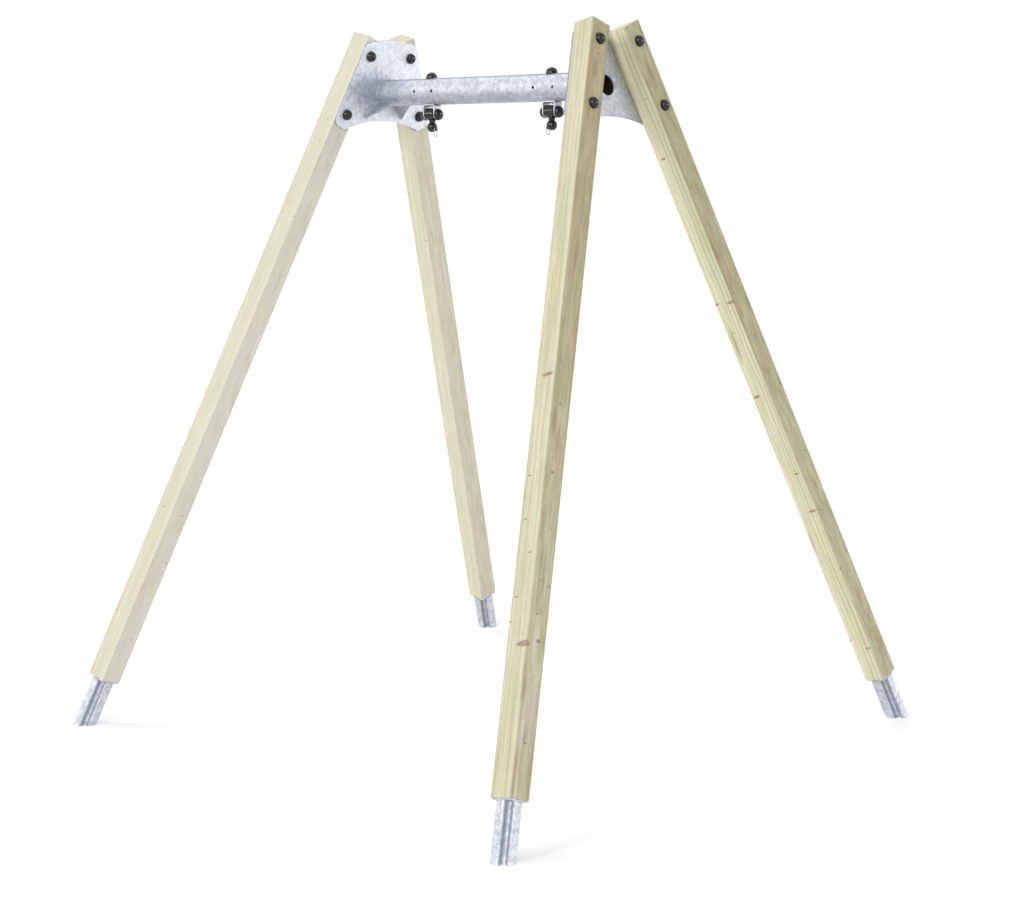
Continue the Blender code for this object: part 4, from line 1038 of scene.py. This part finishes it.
def black_nylon(name, least, most):
    """Moulded nylon: near black, its gloss between two bounds, with a fine even grain."""
    # The grain is about 0.4 mm; it breaks up the highlights without being seen itself.
    material, tree, shader = new_material(name)
    place = add(tree, "TexCoord").outputs["Object"]
    soft = add(tree, "TexNoise", place, Scale=90.0, Detail=3.0)
    fine = add(tree, "TexNoise", place, Scale=2400.0, Detail=1.0)
    base = add(tree, "ValToRGB", soft, stops=[(0.3, "0b0b0c"), (0.7, "111112")])
    rough = add(tree, "MapRange", soft, 0.3, 0.7, least, most)
    bump = add(tree, "Bump", Height=fine, Strength=0.1, Distance=0.00004)
    feed(shader, {"Base Color": base, "Roughness": rough, "Normal": bump,
                  "Specular IOR Level": 0.5})
    return material


def cap_shell(radius, height, saddle=None):
    """A hollow dome turned about Z: skirt, step, then a quarter of an ellipse.

    With a saddle radius, the skirt reaches down to a tube of that radius along X, by the
    height of its circle over each point.
    """
    bow = np.linspace(0, math.pi / 2, 20)
    start = CAP_SKIRT + CAP_EASE
    dome = np.column_stack([(radius - CAP_STEP) * np.cos(bow),
                            start + (height - start) * np.sin(bow)])
    within = radius - CAP_WALL
    hollow = np.column_stack([within * np.cos(bow), (height - CAP_WALL) * np.sin(bow)])[::-1]
    hollow[0, 0] = dome[-1, 0] = CAP_CREST
    skirt = [(within + CAP_EASE, 0.0), (radius - CAP_STEP, 0.0), (radius, CAP_STEP),
             (radius, CAP_SKIRT - 0.0005), (radius - CAP_EASE, CAP_SKIRT - 0.0001),
             (radius - CAP_STEP - CAP_EASE, CAP_SKIRT)]
    points, faces = lathe(np.vstack([hollow, skirt, dome]), 72)
    if saddle:
        edge = CAP_SKIRT - CAP_EASE
        drop = np.sqrt(saddle ** 2 - points[:, 1] ** 2) - saddle + GAP
        points[:, 2] += drop * np.clip(1 - points[:, 2] / edge, 0, 1)
    return points, faces


nylon = black_nylon("moulded_black_nylon", 0.07, 0.11)
cap, faces = cap_shell(WASHER_RADIUS + POST_CAP_ROOM + CAP_WALL, CAP_STACK + POST_CAP_RISE)
for where, side, row in POSTS:
    for level_name, level in (("upper", BOLT_UPPER), ("lower", BOLT_LOWER)):
        for kind, start, facing in (("plate", -GAP, -1), ("post", PLATE + POST_SIDE + 2 * GAP, 1)):
            points = cap @ turn("Y", facing * math.pi / 2).T + (start, 0.0, level)
            piece(f"cap_{kind}_{where}_{level_name}", [(points, faces)], nylon, "frame",
                  "black_plastic", [f"{kind}_cap_{where}_{level_name}"], *post_axes(side, row),
                  angle=45.0)

# ---------------------------------------------------------------- hanger brackets
# Under the tube each hanger has a saddle folded from 6 mm galvanised strap: the web follows
# the tube, and the two round-ended cheeks carry the axle. Black caps cover axle and bolt.

BRACKET_HALF = 0.034
BRACKET_DEPTH_HALF = 0.021
BRACKET_SHEET = 0.006
BRACKET_BEND = 0.009              # outer radius of the folds
BRACKET_EASE = 0.0010
BRACKET_WEB_ROWS = (0.012, 0.004)
AXLE_DROP = 0.094                 # from the crossbar's axis
HANGER_CAP_ROOM = 0.0033          # round the washer
HANGER_CAP = WASHER_RADIUS + HANGER_CAP_ROOM + CAP_WALL
BAR_CAP_RISE = 0.0083
AXLE_CAP_RISE = 0.0050


def bracket_shell():
    """Outer and inner faces over (along the strap, across it), closed round the rim.

    Across, the rows follow a sine so that they crowd at the edges, and both faces draw in
    there by a quarter circle.
    """
    y = BRACKET_DEPTH_HALF * np.sin(np.radians(np.linspace(-89, 89, 61)))[:, None]
    seat = np.sqrt((BAR_RADIUS + GAP) ** 2 - y ** 2)
    long = np.sqrt(BRACKET_DEPTH_HALF ** 2 - y ** 2)
    # Down the round end the rows stand at these shares of its height, closer at the rim.
    share = np.array([1.0, 0.995, 0.985, 0.97, 0.95, 0.92, 0.86, 0.75, 0.5, 0.25])
    bow = np.linspace(0, math.pi / 2, 13)
    middle_x = BRACKET_HALF - BRACKET_BEND
    middle_z = -seat - BRACKET_BEND
    cheek_z = np.concatenate([-AXLE_DROP - long * share, np.full_like(y, -AXLE_DROP),
                              (middle_z - AXLE_DROP) / 2], 1)
    shapes = []
    for sheet in (0.0, BRACKET_SHEET):
        bend = BRACKET_BEND - sheet
        bend_z = middle_z + bend * np.sin(bow)
        bend_x = np.broadcast_to(middle_x + bend * np.cos(bow), bend_z.shape)
        web_x = np.broadcast_to(np.array(BRACKET_WEB_ROWS), (len(y), 2))
        web_z = np.broadcast_to(-seat - sheet, (len(y), 2))
        x = np.concatenate([np.full_like(cheek_z, BRACKET_HALF - sheet), bend_x, web_x], 1)
        z = np.concatenate([cheek_z, bend_z, web_z], 1)
        x = np.concatenate([x, -x[:, ::-1]], 1)
        z = np.concatenate([z, z[:, ::-1]], 1)
        shapes.append(np.dstack([x, np.broadcast_to(y, x.shape), z]))
    outer, inner = shapes
    low = np.minimum(outer[..., 2] + AXLE_DROP, 0.0)
    edge = BRACKET_DEPTH_HALF - np.where(low < 0, np.hypot(outer[..., 1], low), abs(outer[..., 1]))
    short = np.clip(BRACKET_EASE - np.clip(edge, 0, None), 0, BRACKET_EASE)
    draw = (BRACKET_EASE - np.sqrt(BRACKET_EASE ** 2 - short ** 2))[..., None]
    across = (inner - outer) / BRACKET_SHEET
    outer, inner = outer + across * draw, inner - across * draw
    rows, columns = outer.shape[:2]
    index = np.arange(2 * rows * columns).reshape(2, rows, columns)
    faces = []
    for layer, flip in ((index[0], False), (index[1], True)):
        quads = np.stack([layer[:-1, :-1], layer[1:, :-1], layer[1:, 1:], layer[:-1, 1:]], -1)
        faces.append(quads.reshape(-1, 4)[:, ::-1] if flip else quads.reshape(-1, 4))
    for a, b in ((index[0, 0], index[1, 0]), (index[1, -1], index[0, -1]),
                 (index[1, :, 0], index[0, :, 0]), (index[0, :, -1], index[1, :, -1])):
        faces.append(np.stack([a[:-1], a[1:], b[1:], b[:-1]], -1))
    return np.concatenate([outer.reshape(-1, 3), inner.reshape(-1, 3)]), np.vstack(faces)


saddle = bracket_shell()
bar_cap = cap_shell(HANGER_CAP, CAP_STACK + BAR_CAP_RISE, BAR_RADIUS)
axle_cap, faces = cap_shell(HANGER_CAP, CAP_STACK + AXLE_CAP_RISE)
for side_name, side in SIDES.items():
    x = side * HANGER_SPACING / 2
    piece(f"saddle_{side_name}", [saddle], zinc, "frame", "galvanised_steel",
          [f"bracket_{side_name}"], origin=(x, 0.0, BAR_HEIGHT), angle=40.0)
    piece(f"cap_bar_{side_name}", [bar_cap], nylon, "frame", "black_plastic",
          [f"bar_cap_{side_name}"], origin=(x, 0.0, BAR_HEIGHT + BAR_RADIUS), angle=45.0)
    for label, facing in (("outer", side), ("inner", -side)):
        points = axle_cap @ turn("Y", facing * math.pi / 2).T
        points += (facing * (BRACKET_HALF + GAP), 0.0, -AXLE_DROP)
        piece(f"cap_axle_{side_name}_{label}", [(points, faces)], nylon, "frame",
              "black_plastic", [f"axle_cap_{side_name}_{label}"], origin=(x, 0.0, BAR_HEIGHT),
              angle=45.0)

# ---------------------------------------------------------------- hubs
# The hub swings on the axle between the cheeks: a moulded nylon barrel with round shoulders,
# and below it a flared neck that holds the swivel bolt. Use has rubbed both to a satin.

HUB_RADIUS = 0.0245
HUB_PLAY = 0.002                  # between the barrel and each cheek
HUB_HALF = BRACKET_HALF - BRACKET_SHEET - HUB_PLAY
HUB_RISE = 0.0025                 # of the barrel's middle above the axle
HUB_SHOULDER = 0.003
HUB_HOLD = 0.001                  # from a shoulder to the points that keep the flats flat
HUB_BORE = 0.0063
HUB_SEGMENTS = 128
NECK_RADIUS = 0.012
NECK_LENGTH = 0.0335              # from the axle down
NECK_EASE = 0.0008
NECK_FLARE = 0.0212               # radius where it runs out into the barrel
NECK_PULL = 0.024                 # how strongly the curve starts upward
FLARE_PULL = 0.013                # and how strongly it ends along the barrel
NECK_STEPS = 22


def hub_shells():
    """A barrel turned about X, and a neck that is a cubic curve at each angle about Z.

    The curve starts straight up from the ring at the neck's end and meets the barrel flush.
    """
    bow = np.linspace(0, math.pi / 2, 8)
    flat, ring = HUB_HALF - HUB_SHOULDER, HUB_RADIUS - HUB_SHOULDER
    end = np.column_stack([ring + HUB_SHOULDER * np.sin(bow), flat + HUB_SHOULDER * np.cos(bow)])
    profile = np.vstack([[(HUB_BORE, HUB_HALF), (ring - HUB_HOLD, HUB_HALF)], end,
                         [(HUB_RADIUS, flat - HUB_HOLD)]])
    profile = np.vstack([profile, profile[::-1] * (1, -1)])
    points, faces = lathe(profile, HUB_SEGMENTS, looped=True)
    barrel = points @ turn("Y", math.pi / 2).T + (0, 0, HUB_RISE)

    angle = np.arange(HUB_SEGMENTS) * math.tau / HUB_SEGMENTS
    cosine, sine = np.cos(angle), np.sin(angle)
    depth = np.sqrt(HUB_RADIUS ** 2 - (NECK_FLARE * sine) ** 2)
    top = np.column_stack([NECK_FLARE * cosine, NECK_FLARE * sine, HUB_RISE - depth])
    away = np.column_stack([cosine, sine, NECK_FLARE * sine ** 2 / depth])
    away /= np.linalg.norm(away, axis=1, keepdims=True)
    low = np.column_stack([NECK_RADIUS * cosine, NECK_RADIUS * sine,
                           np.full(HUB_SEGMENTS, NECK_EASE - NECK_LENGTH)])
    rings = [low * (share, share, 1) - (0, 0, drop)
             for share, drop in ((0.90, NECK_EASE), (0.955, NECK_EASE), (0.99, 0.0005))]
    for s in np.linspace(0, 1, NECK_STEPS):
        rings.append(low * (2 * s ** 3 - 3 * s ** 2 + 1) + top * (3 * s ** 2 - 2 * s ** 3)
                     + np.array([0, 0, NECK_PULL]) * (s ** 3 - 2 * s ** 2 + s)
                     + away * FLARE_PULL * (s ** 3 - s ** 2))
    rings.append(top * (0.9, 0.9, 1) + (0, 0, 0.004))      # ends inside the barrel
    return [(barrel, faces), skin(np.array(rings))]


satin = black_nylon("worn_black_nylon", 0.14, 0.20)
hub = hub_shells()
for side_name, side in SIDES.items():
    piece(f"barrel_{side_name}", hub, satin, f"hub_{side_name}", "black_plastic",
          [f"hub_{side_name}"], origin=(side * HANGER_SPACING / 2, 0.0, BAR_HEIGHT - AXLE_DROP),
          angle=40.0)

# ---------------------------------------------------------------- turning balls
# A moulded nylon ball turns below the neck on the swivel bolt, whose head sits in a pocket
# in its flat underside. The ear on one side is bored for the wire loop.

BALL_RADIUS = 0.0212
TOP_FLAT = 0.0124                 # radius of the flat at the top
SOLE_FLAT = 0.0090                # and of that underneath
BALL_TOP = math.sqrt(BALL_RADIUS ** 2 - TOP_FLAT ** 2)
BALL_SOLE = math.sqrt(BALL_RADIUS ** 2 - SOLE_FLAT ** 2)
BALL_DROP = NECK_LENGTH + GAP + BALL_TOP
BALL_BORE = 0.0055
POCKET_RADIUS = 0.0075
POCKET_DEPTH = 0.0107
POCKET_EASE = 0.0004
EAR_DROP = 0.006                  # of the pin's hole below the ball's middle
EAR_HALF = 0.004
EAR_DEPTH = 0.0095
EAR_ROOT = 0.0135                 # where the ear starts, inside the ball
EAR_WALL = 0.0027
EAR_EASE = 0.0010
EAR_CORNER = 0.0004               # radius of the corners that lie inside the ball
PIN_HOLE = 0.0025
PIN_PROUD = 0.00067               # of the pin's middle past the ball's side
PIN_OFFSET = math.sqrt(BALL_RADIUS ** 2 - EAR_DROP ** 2) + PIN_PROUD

sphere = arc((0, 0), BALL_RADIUS, math.asin(BALL_TOP / BALL_RADIUS),
             -math.asin(BALL_SOLE / BALL_RADIUS), 40)
roof = POCKET_DEPTH - BALL_SOLE
bore = [(POCKET_RADIUS + POCKET_EASE, -BALL_SOLE), (POCKET_RADIUS, POCKET_EASE - BALL_SOLE),
        (POCKET_RADIUS, roof), (BALL_BORE, roof), (BALL_BORE, BALL_TOP)]
ball = lathe(np.vstack([sphere, bore]), 96, looped=True)

radius = PIN_HOLE + EAR_WALL
corners = [(EAR_ROOT, -EAR_DROP - EAR_DEPTH), (PIN_OFFSET + radius, -EAR_DROP - EAR_DEPTH),
           (PIN_OFFSET + radius, radius - EAR_DROP), (EAR_ROOT, radius - EAR_DROP)]
outline = rounded(corners, [EAR_CORNER, radius * 0.99, radius * 0.99, EAR_CORNER], 20,
                  hold=0.0004)
pin = hole((PIN_OFFSET, -EAR_DROP), PIN_HOLE, 40)
ear, faces = panel(outline, [pin], -EAR_HALF, EAR_HALF, EAR_EASE)
ear = ear[:, [0, 2, 1]]
for side_name, side in SIDES.items():
    piece(f"swivel_{side_name}", [ball, (ear, faces)], satin, f"ball_{side_name}",
          "black_plastic", [f"ball_{side_name}"], turn("Z", 0.0 if side < 0 else math.pi),
          (side * HANGER_SPACING / 2, 0.0, BAR_HEIGHT - AXLE_DROP - BALL_DROP), 40.0)

# ---------------------------------------------------------------- wire loops
# A closed loop of 4 mm bright stainless wire hangs in each ear, and a swing's chain hooks on
# it. It is bent to shape through the ear's bore and butt-welded.

WIRE = 0.0020                     # radius
LOOP_TOP_HALF = 0.0088
LOOP_FOOT_HALF = 0.0066
LOOP_LENGTH = 0.0310
LOOP_TOP_BEND = 0.0035
LOOP_FOOT_BEND = 0.0062
LOOP_STEP = 0.0006                # between points along the wire


def bare_metal(name, dark, pale, cells, detail, least, most):
    """Noise of so many cells a metre sets the colour and the roughness between two bounds."""
    material, tree, shader = new_material(name)
    place = add(tree, "TexCoord").outputs["Object"]
    haze = add(tree, "TexNoise", place, Scale=cells, Detail=detail)
    base = add(tree, "ValToRGB", haze, stops=[(0.3, dark), (0.7, pale)])
    rough = add(tree, "MapRange", haze, 0.3, 0.7, least, most)
    feed(shader, {"Base Color": base, "Roughness": rough, "Metallic": 1.0})
    return material


# Drawn stainless wire: bright, with faint marks of the die.
bright = bare_metal("drawn_stainless_steel", "a6a8ac", "c4c6ca", 700.0, 2.0, 0.14, 0.26)
corners = [(LOOP_TOP_HALF, 0.0), (-LOOP_TOP_HALF, 0.0), (-LOOP_FOOT_HALF, -LOOP_LENGTH),
           (LOOP_FOOT_HALF, -LOOP_LENGTH)]
radii = [LOOP_TOP_BEND, LOOP_TOP_BEND, LOOP_FOOT_BEND, LOOP_FOOT_BEND]
line = spaced(rounded(corners, radii, 16), LOOP_STEP)
angle = np.arange(24) * math.tau / 24
spot = line[:, None] + outward(line)[:, None] * (WIRE * np.cos(angle))[:, None]
depth = np.broadcast_to(WIRE * np.sin(angle), spot.shape[:2])
loop = skin(np.dstack([depth, spot]), looped=True)
for side_name, side in SIDES.items():
    piece(f"wire_loop_{side_name}", [loop], bright, f"bail_{side_name}", "stainless_steel",
          [f"bail_{side_name}"], origin=(side * (HANGER_SPACING / 2 - PIN_OFFSET), 0.0,
                                         BAR_HEIGHT - AXLE_DROP - BALL_DROP - EAR_DROP),
          angle=60.0)

# ---------------------------------------------------------------- bolts
# The bolts are zinc-plated hexagon bolts with nuts and washers, all but hidden by the caps;
# the swivel bolts are stainless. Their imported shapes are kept.

# Bright zinc plate: smooth silver metal with a slight haze.
plated = bare_metal("bright_zinc_plate", "b7babf", "cfd2d8", 260.0, 3.0, 0.24, 0.40)
for name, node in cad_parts.items():
    if "bolt" in name:
        node.data.materials.clear()
        node.data.materials.append(bright if "swivel" in name else plated)
